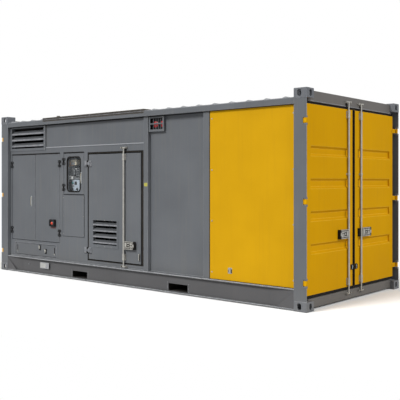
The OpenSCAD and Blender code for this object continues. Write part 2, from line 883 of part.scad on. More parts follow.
module wall_jambs()
  color(grey) both_sides() {
    slab([casting_l, cable_x0], [wall_in, wall_back], [bottom_rail_z, louvre_z0]);
    slab([cable_x1, window_door_x0], [wall_in, wall_back], [bottom_rail_z, ledge_z]);
    slab([window_door_x1, service_x0], [wall_in, wall_back], [bottom_rail_z, ledge_z]);
    slab([service_x1, post_1_x], [wall_in, wall_back], [bottom_rail_z, ledge_z]);
  }

// Wall between the jambs, above and below the doorways.
module wall_infill_set() {
  d = [wall_in, wall_back];
  slab([cable_x0, louvre_x1], d, [door_top_z, louvre_z0]);
  slab([louvre_x1, cable_x1], d, [door_top_z, ledge_z]);
  slab([window_door_x0, window_door_x1], d, [bottom_rail_z, window_door_z0]);
  slab([window_door_x0, window_door_x1], d, [door_top_z, ledge_z]);
  slab([service_x0, service_x1], d, [bottom_rail_z, service_z0]);
  slab([service_x0, service_x1], d, [door_top_z, ledge_z]);
}

module wall_infills()
  color(grey) {
    wall_infill_set();
    mirror([0, 1, 0]) {
      wall_infill_set();
      slab([cable_x0, cable_x1], [wall_in, wall_back], [bottom_rail_z, cable_z0]);
    }
    difference() {
      slab([cable_x0, cable_x1], [wall_in, wall_back], [bottom_rail_z, cable_z0]);
      slab([cover_x0, cover_x1], [wall_in - over, wall_in + cover_recess], [cover_z0, cover_z1]);
    }
  }

// Folded upper panel: a sloping ledge, then the recessed face up to the rail.
module upper_panels()
  color(grey) both_sides()
    side_profile([louvre_x1, post_1_x], [
      [wall_in, ledge_z], [upper_in, ledge_z + ledge_rise], [upper_in, top_rail_z],
      [wall_back, top_rail_z], [wall_back, ledge_z]]);

// Sloping slats that shed rain: each falls outward and ends in an upright lip.
// The lowest lip stands foot above the opening's bottom.
module slats(x, d, z, pitch, foot) {
  rise = pitch - slat_see;
  for (low = [z[0] + foot : pitch : z[1] - rise - slat_head])
    side_profile(x, [
      [d[1], low + rise], [d[1], low + rise - slat_t], [d[0] + slat_t, low + slat_lip - slat_t],
      [d[0] + slat_t, low], [d[0], low], [d[0], low + slat_lip]]);
}

module intake_louvre() {
  x = [casting_l, louvre_x1];
  z = [louvre_z0, top_rail_z];
  inner_x = [x[0] + louvre_border, x[1] - louvre_border];
  inner_z = [z[0] + louvre_foot_rim, z[1] - louvre_rim];
  difference() {
    slab(x, [louvre_in, wall_back], z);
    slab(inner_x, [louvre_in - over, wall_back + over], inner_z);
  }
  slats([inner_x[0] - over, inner_x[1] + over], [louvre_in + slat_front, wall_back - slat_back],
        inner_z, slat_pitch, slat_foot);
}

module intake_louvres()
  color(grey) both_sides() intake_louvre();

module grey_panels()
  color(grey) both_sides()
    slab([post_1_x + post_1_w, post_2_x], [grey_in, wall_back], [bottom_rail_z, top_rail_z]);

module yellow_panels()
  color(yellow) both_sides()
    slab([post_2_x + post_2_w, panel_right_x], [yellow_in, wall_back],
         [bottom_rail_z, top_rail_z]);

// Bolted cover under the window door, and the fixed covers of the back doorways.
module access_panels()
  color(grey) {
    slab([window_door_x0 - access_lap, window_door_x1 + access_gap],
         [wall_in - access_t, wall_in],
         [window_door_z0 - access_gap - access_h, window_door_z0 - access_gap]);
    mirror([0, 1, 0]) {
      slab([cable_x0, cable_x1], [wall_in, wall_in + door_t], [cable_z0, door_top_z]);
      slab([window_door_x0, window_door_x1], [wall_in, wall_in + door_t],
           [window_door_z0, door_top_z]);
      service_leaf([service_x0, service_x1], [service_z0, door_top_z]);
    }
  }

// ---------------------------------------------------------------- roof

// Roof sheet on the rails with pressed ribs across it.
module roof_panel(x) {
  rib_n = floor((x[1] - x[0] - rib_w) / rib_pitch);
  first = x[0] + (x[1] - x[0] - rib_n * rib_pitch) / 2;
  slab(x, [rail_in + roof_edge, width - rail_in - roof_edge], [rail_top_z, rail_top_z + roof_t]);
  for (i = [0:rib_n])
    translate([first + i * rib_pitch - half_l, half_w - rail_in - rib_end, rail_top_z + roof_t - tiny])
      rotate([90, 0, 0])
        linear_extrude(height = width - 2 * rail_in - 2 * rib_end)
          polygon([[-rib_w / 2, 0], [rib_w / 2, 0], [rib_top_w / 2, rib_h], [-rib_top_w / 2, rib_h]]);
}

module roof_panels()
  color(grey) {
    roof_panel([casting_l, hatch_x0]);
    roof_panel([hatch_x1, panel_right_x]);
  }

// Raised hatch over the engine bay, with a skirt outside the rails and two lifting lugs.
module roof_hatch() {
  top = rail_top_z + hatch_h;
  skirt_in = rail_in - skirt_t;
  color(dark) union() {
    slab([hatch_x0, hatch_x1], [skirt_in, width - skirt_in], [rail_top_z, top]);
    both_sides() {
      slab([hatch_x0, hatch_x1], [skirt_in, rail_in], [top - skirt_h, rail_top_z + tiny]);
      slab([hatch_x0 + lug_off, hatch_x0 + lug_off + lug_w], [skirt_in + lug_in, skirt_in + lug_in + lug_w],
           [top - tiny, top + lug_rise]);
    }
  }
}

// ---------------------------------------------------------------- locking bars

// Keeper: a plate with two cheeks, open outward so the cam can leave.
// Drawn about the bar's axis with the outward direction along -Y.
module keeper(z, back)
  translate([0, 0, z - keeper_h / 2]) union() {
    translate([-cam_room - cheek_t, back - keeper_t, 0])
      cube([2 * (cam_room + cheek_t), keeper_t, keeper_h]);
    for (s = [-cam_room - cheek_t, cam_room])
      translate([s, -cheek_front, 0]) cube([cheek_t, back + cheek_front, keeper_h]);
  }

// Guide: a block on the leaf with a bore for the bar.
module guide(z, h, back)
  translate([0, 0, z - h / 2]) difference() {
    translate([-guide_w / 2, -bar_r - guide_wall, 0]) cube([guide_w, bar_r + guide_wall + back, h]);
    translate([0, 0, -over]) cylinder(r = bar_r + bar_fit, h = h + 2 * over);
  }

// Lock box: a housing beside the bar towards +X, open to the front and to the bar.
module lock_box(z, back) {
  x0 = bar_r + lock_bar_gap;
  translate([x0, -lock_front, z - lock_h / 2]) difference() {
    cube([lock_l - x0, lock_front + back, lock_h]);
    translate([-over, -over, lock_t])
      cube([lock_l - x0 - lock_t + over, lock_front + back - lock_t + over, lock_h - 2 * lock_t]);
  }
}

// Bar with its end cams and handle lever, which lie towards +X at rest.
module locking_bar(z0, z1, tube, lever_z, reach) {
  union() {
    translate([0, 0, tube[0]]) cylinder(r = bar_r, h = tube[1] - tube[0]);
    translate([0, 0, z0 - cam_t / 2]) cylinder(r = bar_end_r, h = z1 - z0 + cam_t);
    for (z = [z0, z1])
      translate([0, 0, z - cam_t / 2]) {
        cylinder(r = bar_end_r + cam_hub, h = cam_t);
        translate([0, -bar_end_r, 0]) cube([cam_l, 2 * bar_end_r, cam_t]);
      }
    translate([0, -lever_t / 2, lever_z - lever_h / 2]) cube([reach, lever_t, lever_h]);
  }
}

// Places bar parts on the right front leaf: outward is +X, and the lever points to the hinge.
module on_end_bar()
  translate([half_l - bar_in, -bar_off, 0]) rotate([0, 0, 90]) mirror([1, 0, 0]) children();

// Places bar parts on the service door: outward is -Y, and the lever points to the free edge.
module on_service_bar()
  translate([service_bar_x - half_l, bar_in - half_w, 0]) children();

module end_keepers()
  color(galvanised) both_ends() both_sides() on_end_bar()
    for (z = [end_keeper_z0, end_keeper_z1]) keeper(z, beam_in - bar_in);

// ---------------------------------------------------------------- end doors

module groove(z)
  translate([half_l, leaf_side + groove_end - half_w, z])
    rotate([-90, 0, 0])
      linear_extrude(height = half_w - leaf_side - leaf_meet - 2 * groove_end)
        polygon([[-leaf_in + over, -groove_h / 2 - over],
                 [-leaf_in - groove_d, -groove_h / 2 + groove_d],
                 [-leaf_in - groove_d, groove_h / 2 - groove_d],
                 [-leaf_in + over, groove_h / 2 + over]]);

// Hinge blade: an eye around the pin, a neck, a strap on the leaf's face and a root in its edge.
module blade(z) {
  zz = [z - blade_h / 2, z + blade_h / 2];
  end_post(pivot_end, pivot_side, eye_r, zz);
  end_slab([pivot_end, leaf_in], [pivot_side - blade_t / 2, pivot_side + blade_t], zz);
  end_slab([blade_top_in, leaf_in + tiny], [pivot_side, leaf_side + blade_reach], zz);
  end_slab([blade_top_in, leaf_in + blade_root], [leaf_side - blade_t, leaf_side + tiny], zz);
}

module end_leaf()
  color(yellow) difference() {
    union() {
      end_slab([leaf_in, leaf_in + leaf_t], [leaf_side, half_w - leaf_meet], [leaf_z0, leaf_z1]);
      for (z = hinge_levels) blade(z);
    }
    for (i = [0:groove_count - 1]) groove(groove_z + i * groove_pitch);
    for (z = hinge_levels)
      end_post(pivot_end, pivot_side, pin_r + pin_fit,
               [z - blade_h / 2 - over, z + blade_h / 2 + over]);
  }

// Rubber ring around the leaf's edge, behind the hinge blades.
module end_seal() {
  d = [seal_in, seal_in + seal_t];
  color(rubber) difference() {
    end_slab(d, [leaf_side - seal_reach, half_w - seal_meet],
             [sill_z + seal_run, header_z - seal_run]);
    end_slab([d[0] - over, d[1] + over], [leaf_side, half_w - leaf_meet], [leaf_z0, leaf_z1]);
  }
}

module end_gear()
  color(galvanised) {
    back = leaf_in - bar_in;
    on_end_bar() {
      guide(end_keeper_z1 - end_guide_down, guide_h, back);
      guide(end_keeper_z0 + end_guide_up, guide_h, back);
      guide(end_keeper_z0 + end_guide_mid, mid_guide_h, back);
      lock_box(lock_z, back);
    }
    end_slab([leaf_in - clip_d, leaf_in],
             [half_w - leaf_meet - clip_edge - clip_w, half_w - leaf_meet - clip_edge],
             [clip_z0, clip_z0 + clip_h]);
  }

module end_bar()
  color(galvanised) on_end_bar()
    locking_bar(end_keeper_z0, end_keeper_z1,
                [end_keeper_z0 + end_guide_up - guide_h / 2 - tube_past,
                 end_keeper_z1 - end_guide_down + guide_h / 2 + tube_past],
                lock_z, lever_l);

// Lug pair with its pin, welded inside the corner post's side plate.
module hinge_lug(z) {
  gap = blade_h / 2 + lug_gap;
  union() {
    for (s = [z - gap - lug_h, z + gap])
      end_slab([pivot_end - eye_r, pivot_end + eye_r],
               [post_in + post_plate_t, pivot_side + eye_r], [s, s + lug_h]);
    end_post(pivot_end, pivot_side, pin_r, [z - gap - over, z + gap + over]);
  }
}

module end_hinge_lugs()
  color(grey) both_ends() both_sides()
    for (z = hinge_levels) hinge_lug(z);

// ---------------------------------------------------------------- side hinges

// Heights where the end knuckles of a hinge of height h stop and start.
function knuckle_ends(h) = [h * knuckle_share, h * (1 - knuckle_share)];

// Fixed half, drawn about the pin with the wall towards -X and outward along -Y.
module hinge_fixed(h, r, plate_w) {
  k = knuckle_ends(h);
  union() {
    translate([-plate_w, r - hinge_plate_t, 0])
      cube([plate_w - r - knuckle_gap, hinge_plate_t, h]);
    for (z = [[0, k[0]], [k[1], h]])
      translate([0, 0, z[0]]) {
        cylinder(r = r, h = z[1] - z[0]);
        translate([-plate_w, r - hinge_plate_t, 0]) cube([plate_w, hinge_plate_t, z[1] - z[0]]);
      }
    cylinder(r = side_pin_r, h = h);
  }
}

// Moving half, with the leaf towards +X.
module hinge_moving(h, r, plate_w) {
  k = [knuckle_ends(h)[0] + knuckle_gap, knuckle_ends(h)[1] - knuckle_gap];
  difference() {
    union() {
      translate([r + knuckle_gap, r - hinge_plate_t, 0])
        cube([plate_w - r - knuckle_gap, hinge_plate_t, h]);
      translate([0, 0, k[0]]) {
        cylinder(r = r, h = k[1] - k[0]);
        translate([0, r - hinge_plate_t, 0]) cube([plate_w, hinge_plate_t, k[1] - k[0]]);
      }
    }
    translate([0, 0, -over]) cylinder(r = side_pin_r + pin_fit, h = h + 2 * over);
  }
}

// Places a hinge at x from the left end, with its middle at height z.
module at_hinge(x, d, z, h, flip = 0)
  translate([x - half_l, d - half_w, z - h / 2]) mirror([flip, 0, 0]) children();

module black_hinge_mounts()
  color(black) {
    for (z = cable_hinge_levels) {
      at_hinge(cable_left_axis_x, black_axis_in, z, black_hinge_h)
        hinge_fixed(black_hinge_h, knuckle_r, black_plate_w);
      at_hinge(cable_right_axis_x, black_axis_in, z, black_hinge_h, 1)
        hinge_fixed(black_hinge_h, knuckle_r, black_plate_w);
    }
    for (z = window_hinge_levels)
      at_hinge(window_axis_x, black_axis_in, z, black_hinge_h)
        hinge_fixed(black_hinge_h, knuckle_r, black_plate_w);
  }

// ---------------------------------------------------------------- service door

// Fixed hinge halves and the locking bar's keepers.
module service_door_fittings()
  color(galvanised) {
    for (z = service_hinge_levels)
      at_hinge(service_axis_x, service_axis_in, z, service_hinge_h)
        hinge_fixed(service_hinge_h, service_knuckle_r, service_plate_w);
    on_service_bar()
      for (z = [service_keeper_z0, service_keeper_z1]) keeper(z, wall_in - bar_in);
  }

module service_door_seal()
  color(rubber) difference() {
    slab([service_x0, service_x1], [wall_in + service_seal_in, wall_in + service_t],
         [service_z0, door_top_z]);
    slab([service_leaf_x0 - seal_clear, service_leaf_x1 + seal_clear],
         [wall_in, wall_back], [service_leaf_z0 - seal_clear, service_leaf_z1 + seal_clear]);
  }

// Leaf with a slatted vent and a raised rim around it.
module service_leaf(x, z)
  union() {
    difference() {
      union() {
        slab(x, [wall_in, wall_in + service_t], z);
        slab([vent_x0 - vent_rim, vent_x1 + vent_rim_right], [wall_in - vent_rim_d, wall_in + over],
             [vent_z0 - vent_rim, vent_z1 + vent_rim_top]);
      }
      slab([vent_x0, vent_x1], [wall_in - vent_rim_d - over, wall_back], [vent_z0, vent_z1]);
    }
    slats([vent_x0 - over, vent_x1 + over],
          [wall_in - vent_slat_front, wall_in + service_t - vent_slat_back],
          [vent_z0, vent_z1], vent_pitch, vent_foot);
  }

module service_door()
  color(grey)
    service_leaf([service_leaf_x0, service_leaf_x1], [service_leaf_z0, service_leaf_z1]);

// Guides, lock box, hook and moving hinge halves on the leaf.
module service_door_gear()
  color(galvanised) {
    on_service_bar() {
      guide(service_keeper_z1 - service_guide_down, guide_h, wall_in - bar_in);
      guide(service_keeper_z0 + service_guide_up, guide_h, wall_in - bar_in);
      lock_box(service_lock_z, wall_in - bar_in);
    }
    slab([hook_x0, hook_x0 + hook_w], [wall_in - hook_d, wall_in], [hook_z0, hook_z0 + hook_h]);
    for (z = service_hinge_levels)
      at_hinge(service_axis_x, service_axis_in, z, service_hinge_h)
        hinge_moving(service_hinge_h, service_knuckle_r, service_plate_w);
  }

module service_door_bar()
  color(galvanised) on_service_bar()
    locking_bar(service_keeper_z0, service_keeper_z1,
                [service_keeper_z0 + service_guide_up - guide_h / 2 - tube_past,
                 service_keeper_z1 - service_guide_down + guide_h / 2 + tube_past],
                service_lock_z, lever_l);

// ---------------------------------------------------------------- cable and window doors

module cable_door_left()
  color(grey)
    slab([cable_x0 + door_gap, cable_split_x - door_gap / 2], [wall_in, wall_in + door_t],
         [cable_z0 + door_gap, door_top_z - door_gap]);

module cable_door_right()
  color(grey)
    slab([cable_split_x + door_gap / 2, cable_x1 - door_gap], [wall_in, wall_in + door_t],
         [cable_z0 + door_gap, door_top_z - door_gap]);

// Moving hinge halves and the swing handle.
module cable_left_fittings()
  color(black) {
    for (z = cable_hinge_levels)
      at_hinge(cable_left_axis_x, black_axis_in, z, black_hinge_h)
        hinge_moving(black_hinge_h, knuckle_r, black_plate_w);
    slab([cable_split_x - handle_edge - handle_w, cable_split_x - handle_edge],
         [wall_in - handle_d, wall_in], [cable_handle_z, cable_handle_z + handle_h]);
  }

// Moving hinge halves and the stop switch's box.
module cable_right_fittings()
  color(black) {
    for (z = cable_hinge_levels)
      at_hinge(cable_right_axis_x, black_axis_in, z, black_hinge_h, 1)
        hinge_moving(black_hinge_h, knuckle_r, black_plate_w);
    slab([stop_x0, stop_x0 + stop_w], [wall_in - stop_d, wall_in], [stop_z0, stop_z0 + stop_h]);
  }

// A plate with round corners, in the plane of the front wall.
module rounded_slab(x, d, z, r) {
  slab([x[0] + r, x[1] - r], d, z);
  slab(x, d, [z[0] + r, z[1] - r]);
  for (cx = [x[0] + r, x[1] - r], cz = [z[0] + r, z[1] - r])
    translate([cx - half_l, d[0] - half_w, cz])
      rotate([-90, 0, 0]) cylinder(r = r, h = d[1] - d[0]);
}

module window_door()
  color(grey) difference() {
    slab([window_door_x0 + door_gap, window_door_x1 - door_gap], [wall_in, wall_in + door_t],
         [window_door_z0 + door_gap, door_top_z - door_gap]);
    rounded_slab([window_x0, window_x1], [wall_in - over, wall_in + door_t + over],
                 [window_z0, window_z1], window_r);
  }

module window_glass()
  color(glass_tint)
    rounded_slab([window_x0, window_x1], [wall_in + glass_in, wall_in + glass_in + glass_t],
                 [window_z0, window_z1], window_r);

module window_fittings()
  color(black) {
    for (z = window_hinge_levels)
      at_hinge(window_axis_x, black_axis_in, z, black_hinge_h)
        hinge_moving(black_hinge_h, knuckle_r, black_plate_w);
    slab([window_x1 + handle_gap, window_x1 + handle_gap + handle_w],
         [wall_in - handle_d, wall_in],
         [window_z0 + window_handle_up, window_z0 + window_handle_up + handle_h]);
  }

// ---------------------------------------------------------------- cable cover

// Bolted cover in its recess, with an upright slot near each end.
module cable_cover() {
  z = [cover_z0 + cover_gap, cover_z1 - cover_gap];
  mid_z = (z[0] + z[1]) / 2;
  d = [wall_in + cover_recess - cover_t, wall_in + cover_recess];
  color(grey) difference() {
    slab([cover_x0 + cover_gap, cover_x1 - cover_gap], d, z);
    for (x = [cover_x0 + cover_slot_end, cover_x1 - cover_slot_end - cover_slot_w])
      slab([x, x + cover_slot_w], [d[0] - over, d[1] + over],
           [mid_z - cover_slot_h / 2, mid_z + cover_slot_h / 2]);
  }
}

// ---------------------------------------------------------------- fittings

// Open-fronted cabinet behind the window door, fixed to the wall's inner face.
module control_cabinet() {
  x = [window_door_x0 - cabinet_lap, window_door_x1 + cabinet_lap];
  z = [window_door_z0 - cabinet_lap, door_top_z + cabinet_lap];
  color(silver) difference() {
    slab(x, [wall_back, wall_back + cabinet_d], z);
    slab([x[0] + cabinet_t, x[1] - cabinet_t], [wall_back - over, gear_back],
         [z[0] + cabinet_t, z[1] - cabinet_t]);
  }
}

// Switchgear on the cabinet's back: duct, relay row, terminal row, controller.
module control_gear()
  color(switchgear) {
    slab([window_x0 - gear_past, duct_x1], [gear_back - duct_d, gear_back],
         [window_z0, window_z1 - duct_drop]);
    for (i = [0:relay_count - 1])
      slab([duct_x1 + i * relay_pitch, duct_x1 + i * relay_pitch + relay_w],
           [gear_back - relay_d, gear_back],
           [window_z1 - relay_drop - relay_h, window_z1 - relay_drop]);
    slab([duct_x1 + gear_past, window_x1], [gear_back - terminal_d, gear_back],
         [window_z1 - terminal_drop - terminal_h, window_z1 - terminal_drop]);
    slab([duct_x1 + controller_off, window_x1 + gear_past], [gear_back - controller_d, gear_back],
         [window_z0, window_z0 + controller_h]);
  }

module lamp_guard()
  color(silver) difference() {
    slab([guard_x0, guard_x1], [guard_in, grey_in], [guard_z0, guard_z1]);
    slab([guard_x0 + guard_bar, guard_x1 - guard_bar], [guard_in + guard_bar, grey_in + over],
         [guard_z0 + guard_bar, guard_z1 - guard_bar]);
    guard_windows();
  }

// Openings of the guard's face, two rows between upright bars.
module guard_windows() {
  open_w = guard_w - 2 * guard_rim;
  open_h = guard_h - guard_rim_z - guard_foot_rim;
  cell_w = (open_w - (guard_cols - 1) * guard_bar) / guard_cols;
  cell_h = (open_h - guard_bar) / 2;
  for (i = [0:guard_cols - 1], j = [0, 1]) {
    x = guard_x0 + guard_rim + i * (cell_w + guard_bar);
    z = guard_z0 + guard_foot_rim + j * (cell_h + guard_bar);
    slab([x, x + cell_w], [guard_in - over, guard_in + guard_bar + over], [z, z + cell_h]);
  }
}

module alarm_lamps()
  color(lamp_red)
    for (off = [lamp_1_off, lamp_2_off])
      translate([guard_x0 + off - half_l, grey_in - half_w, guard_z0 + guard_h / 2]) union() {
        rotate([90, 0, 0]) cylinder(r = lamp_r, h = lamp_base);
        intersection() {
          translate([0, lamp_ball_r - lamp_base - lamp_dome, 0]) sphere(r = lamp_ball_r);
          translate([-lamp_r - over, -lamp_base - lamp_dome - over, -lamp_r - over])
            cube([2 * (lamp_r + over), lamp_dome + over, 2 * (lamp_r + over)]);
        }
      }

// ---------------------------------------------------------------- end door copies

module right_front() children();
module right_back() mirror([0, 1, 0]) children();
module left_front() mirror([1, 0, 0]) children();
module left_back() mirror([1, 0, 0]) mirror([0, 1, 0]) children();

corner_castings();
corner_posts();
bottom_rail_flanges();
bottom_rail_webs();
rail_gussets();
top_side_rails();
door_sills();
door_headers();
cross_members();
fork_pocket_plates();
fork_pocket_webs();
floor_plate();
wall_posts();
wall_jambs();
wall_infills();
upper_panels();
intake_louvres();
grey_panels();
yellow_panels();
access_panels();
roof_panels();
roof_hatch();
end_hinge_lugs();
end_keepers();
black_hinge_mounts();
service_door_fittings();
service_door_seal();
control_cabinet();
control_gear();
lamp_guard();
alarm_lamps();
right_front() end_leaf();  // right_front_leaf
right_front() end_seal();  // right_front_seal
right_front() end_gear();  // right_front_gear
right_front() end_bar();  // right_front_bar
right_back() end_leaf();  // right_back_leaf
right_back() end_seal();  // right_back_seal
right_back() end_gear();  // right_back_gear
right_back() end_bar();  // right_back_bar
left_front() end_leaf();  // left_front_leaf
left_front() end_seal();  // left_front_seal
left_front() end_gear();  // left_front_gear
left_front() end_bar();  // left_front_bar
left_back() end_leaf();  // left_back_leaf
left_back() end_seal();  // left_back_seal
left_back() end_gear();  // left_back_gear
left_back() end_bar();  // left_back_bar
service_door();
service_door_gear();
service_door_bar();
cable_door_left();
cable_left_fittings();
cable_door_right();
cable_right_fittings();
window_door();
window_glass();
window_fittings();
cable_cover();
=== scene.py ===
"""Looks of a containerised diesel generator set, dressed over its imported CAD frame.

Sizes are millimetres. On a long side a place is (along from the left end, depth behind
the side plane, height). On an end it is (across from the side plane, depth behind the
end plane, height).
"""

import json
import logging
import math
import random
from dataclasses import dataclass, field
from enum import Enum
from typing import Callable, Sequence

import bmesh
import bpy
from mathutils import Matrix, Vector

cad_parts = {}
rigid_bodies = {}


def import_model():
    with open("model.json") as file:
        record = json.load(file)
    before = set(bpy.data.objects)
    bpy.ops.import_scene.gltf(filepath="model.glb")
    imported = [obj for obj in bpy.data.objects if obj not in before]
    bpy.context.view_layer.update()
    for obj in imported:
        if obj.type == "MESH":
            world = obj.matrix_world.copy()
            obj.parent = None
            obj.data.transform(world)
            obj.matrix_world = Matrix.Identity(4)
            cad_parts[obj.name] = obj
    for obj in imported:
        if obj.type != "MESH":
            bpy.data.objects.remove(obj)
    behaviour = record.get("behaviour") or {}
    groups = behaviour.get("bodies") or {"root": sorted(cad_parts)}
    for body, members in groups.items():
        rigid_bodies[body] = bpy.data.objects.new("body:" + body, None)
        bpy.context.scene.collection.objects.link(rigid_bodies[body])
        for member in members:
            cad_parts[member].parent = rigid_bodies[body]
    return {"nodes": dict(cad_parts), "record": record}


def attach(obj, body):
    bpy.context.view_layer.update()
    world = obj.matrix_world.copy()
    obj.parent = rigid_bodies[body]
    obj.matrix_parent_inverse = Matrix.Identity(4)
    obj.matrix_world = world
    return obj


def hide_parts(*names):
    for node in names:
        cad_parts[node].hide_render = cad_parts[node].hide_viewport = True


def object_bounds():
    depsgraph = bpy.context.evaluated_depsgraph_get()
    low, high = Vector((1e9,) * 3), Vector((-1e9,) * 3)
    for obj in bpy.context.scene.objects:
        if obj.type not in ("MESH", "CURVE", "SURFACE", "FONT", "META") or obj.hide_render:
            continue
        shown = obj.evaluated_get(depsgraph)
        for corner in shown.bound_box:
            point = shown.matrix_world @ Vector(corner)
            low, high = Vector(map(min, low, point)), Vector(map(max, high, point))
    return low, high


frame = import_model()
CAD_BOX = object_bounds()

LOG = logging.getLogger("generator_set")
MM = 0.001
WALL_IN = 60.0  # how far the wall's outer face lies behind the side plane
LENGTH, WIDTH, HEIGHT = ((high - low) / MM for low, high in zip(*CAD_BOX))

Span = tuple[float, float]
Point = tuple[float, float, float]
Row = tuple[Span, Span, Span, float, int]  # a block: along, depth, up, rounding and slot
Profile = tuple[Span, ...]  # a turned shape: radius and height, from its foot to its top


def linear(hex_colour: str) -> tuple[float, float, float, float]:
    """Turns an sRGB hex colour into linear RGBA.

    Args:
        hex_colour: Colour as #rrggbb.

    Returns:
        Linear red, green and blue, and an alpha of 1.
    """
    shares = [int(hex_colour[i:i + 2], 16) / 255 for i in (1, 3, 5)]
    red, green, blue = [s / 12.92 if s <= 0.04045 else ((s + 0.055) / 1.055) ** 2.4 for s in shares]
    return (red, green, blue, 1.0)


def per_metre(size_mm: float) -> float:
    """Returns the texture scale whose features are about size_mm across."""
    return 1000.0 / size_mm


def add_node(tree: bpy.types.NodeTree, kind: str, **settings: object) -> bpy.types.Node:
    """Adds a node to a tree.

    Args:
        tree: The tree.
        kind: The node's type.
        **settings: Properties to set on it.

    Returns:
        The node.
    """
    made = tree.nodes.new(kind)
    for key, value in settings.items():
        setattr(made, key, value)
    return made


@dataclass
class Nodes:
    """A node tree, and the ways to fill it."""

    tree: bpy.types.NodeTree

    def feed(self, node: bpy.types.Node, feeds: dict) -> None:
        """Gives a node's inputs their values or links.

        Args:
            node: The node.
            feeds: Input name or number, with a value or the socket that is linked to it.
        """
        for key, value in feeds.items():
            if isinstance(value, bpy.types.NodeSocket):
                self.tree.links.new(value, node.inputs[key])
            else:
                node.inputs[key].default_value = value

    def add(self, kind: str, feeds: dict | None = None, **settings: object) -> bpy.types.Node:
        """Adds a node.

        Args:
            kind: Its type name.
            feeds: What its inputs get, as for feed().
            **settings: Its properties.

        Returns:
            The new node.
        """
        made = add_node(self.tree, kind, **settings)
        self.feed(made, feeds or {})
        return made

    def out(self, kind: str, feeds: dict | None = None, **settings: object) -> bpy.types.NodeSocket:
        """Adds a node and returns its first output."""
        return self.add(kind, feeds, **settings).outputs[0]

    def seen_directly(self) -> bpy.types.NodeSocket:
        """Tells the rays that are seen from those that only light things softly.

        Returns:
            1 for the eye's own rays and for what glass and gloss show, and 0 for soft light.
        """
        path = self.add("ShaderNodeLightPath").outputs
        seen = path["Is Camera Ray"]
        for kind in ("Is Glossy Ray", "Is Transmission Ray"):
            seen = self.out("ShaderNodeMath", {0: seen, 1: path[kind]}, operation="MAXIMUM")
        return seen


class Surface(Nodes):
    """A material in the making: its Principled shader, and the patterns that feed it."""

    def __init__(self, name: str) -> None:
        """Starts the material.

        Args:
            name: The material's name.
        """
        self.material = bpy.data.materials.new(name)
        self.material.use_nodes = True
        super().__init__(self.material.node_tree)
        self.tree.nodes.clear()
        self.skin = self.add("ShaderNodeBsdfPrincipled")
        self.end = self.add("ShaderNodeOutputMaterial", {"Surface": self.skin.outputs[0]})
        self.place = self.add("ShaderNodeTexCoord").outputs["Object"]

    def noise(self, size_mm: float, detail: float) -> bpy.types.NodeSocket:
        """Returns a cloudy pattern with patches about size_mm across."""
        return self.out("ShaderNodeTexNoise", {
            "Vector": self.place, "Scale": per_metre(size_mm), "Detail": detail})

    def spread(self, value: bpy.types.NodeSocket, start: float = 0.0, stop: float = 1.0,
               low: float = 0.0, high: float = 1.0) -> bpy.types.NodeSocket:
        """Returns a value's run from start to stop, stretched to run from low to high."""
        return self.out("ShaderNodeMapRange", {
            "Value": value, "From Min": start, "From Max": stop, "To Min": low, "To Max": high})

    def blend(self, share: bpy.types.NodeSocket, *ends: str | bpy.types.NodeSocket) -> bpy.types.NodeSocket:
        """Returns the colour that lies a share of the way between two, each a hex colour or a socket."""
        under, over = (linear(end) if isinstance(end, str) else end for end in ends)
        return self.add("ShaderNodeMix", {0: share, 6: under, 7: over}, data_type="RGBA").outputs[2]

    def bump(self, height: bpy.types.NodeSocket, strength: float, deep: float, **more: object) -> bpy.types.NodeSocket:
        """Returns the face's direction, tilted by a pattern that is deep metres deep."""
        return self.out("ShaderNodeBump", {
            "Height": height, "Strength": strength, "Distance": deep, **more})

    def dress(self, **inputs: object) -> bpy.types.Material:
        """Gives the shader's inputs, named with _ for a space, and returns the material."""
        self.feed(self.skin, {key.replace("_", " "): value for key, value in inputs.items()})
        return self.material


# ---- finishes


@dataclass(frozen=True)
class SprayedSteel:
    """Two-pack enamel sprayed on folded sheet steel, weathered outdoors.

    It gives a satin face with a faint orange peel, cloudy tone from the gun's passes,
    thin rain streaks, and dust that gathers low down.
    """

    name: str
    colour: str
    cloud: str
    dust: str = "#7d786d"
    roughness: float = 0.5
    cloud_mm: float = 750.0
    streak_mm: float = 34.0
    streak_share: float = 0.16
    ground_share: float = 0.3
    wear: float = 0.0
    worn: str = "#97979a"
    peel_mm: float = 9.0
    buckle_mm: float = 520.0
    rub_mm: float = 60.0
    splash_mm: float = 90.0
    splash_top: float = 0.55
    specular: float = 0.22

    def build(self) -> bpy.types.Material:
        """Builds the material.

        Returns:
            The finished material.
        """
        steel = Surface(self.name)
        clouds = steel.noise(self.cloud_mm, 4.0)
        run = per_metre(self.streak_mm)
        fall = steel.out("ShaderNodeMapping", {"Vector": steel.place, "Scale": (run, run, 1.1)})
        streaks = steel.out("ShaderNodeTexNoise", {"Vector": fall, "Scale": 1.0, "Detail": 2.0})
        tone = steel.blend(steel.spread(clouds, 0.34, 0.66), self.colour, self.cloud)
        tone = steel.blend(steel.spread(streaks, 0.52, 0.78, high=self.streak_share), tone, self.dust)
        height = steel.add("ShaderNodeSeparateXYZ", {0: steel.place}).outputs[2]
        low = steel.spread(height, self.splash_top, 0.0, high=self.ground_share)
        dusty = steel.add("ShaderNodeMath", {0: low, 1: steel.noise(self.splash_mm, 5.0)}, operation="MULTIPLY")
        tone = steel.blend(dusty.outputs[0], tone, self.dust)
        if self.wear:
            rubbed = steel.spread(steel.noise(self.rub_mm, 4.0), 0.36, 0.62, high=self.wear)
            tone = steel.blend(rubbed, tone, self.worn)
        buckle = steel.bump(steel.noise(self.buckle_mm, 1.0), 0.25, 0.012)
        return steel.dress(
            Base_Color=tone, Specular_IOR_Level=self.specular,
            Roughness=steel.spread(clouds, 0.3, 0.7, self.roughness - 0.05, self.roughness + 0.08),
            Normal=steel.bump(steel.noise(self.peel_mm, 2.0), 0.12, 0.0006, Normal=buckle))


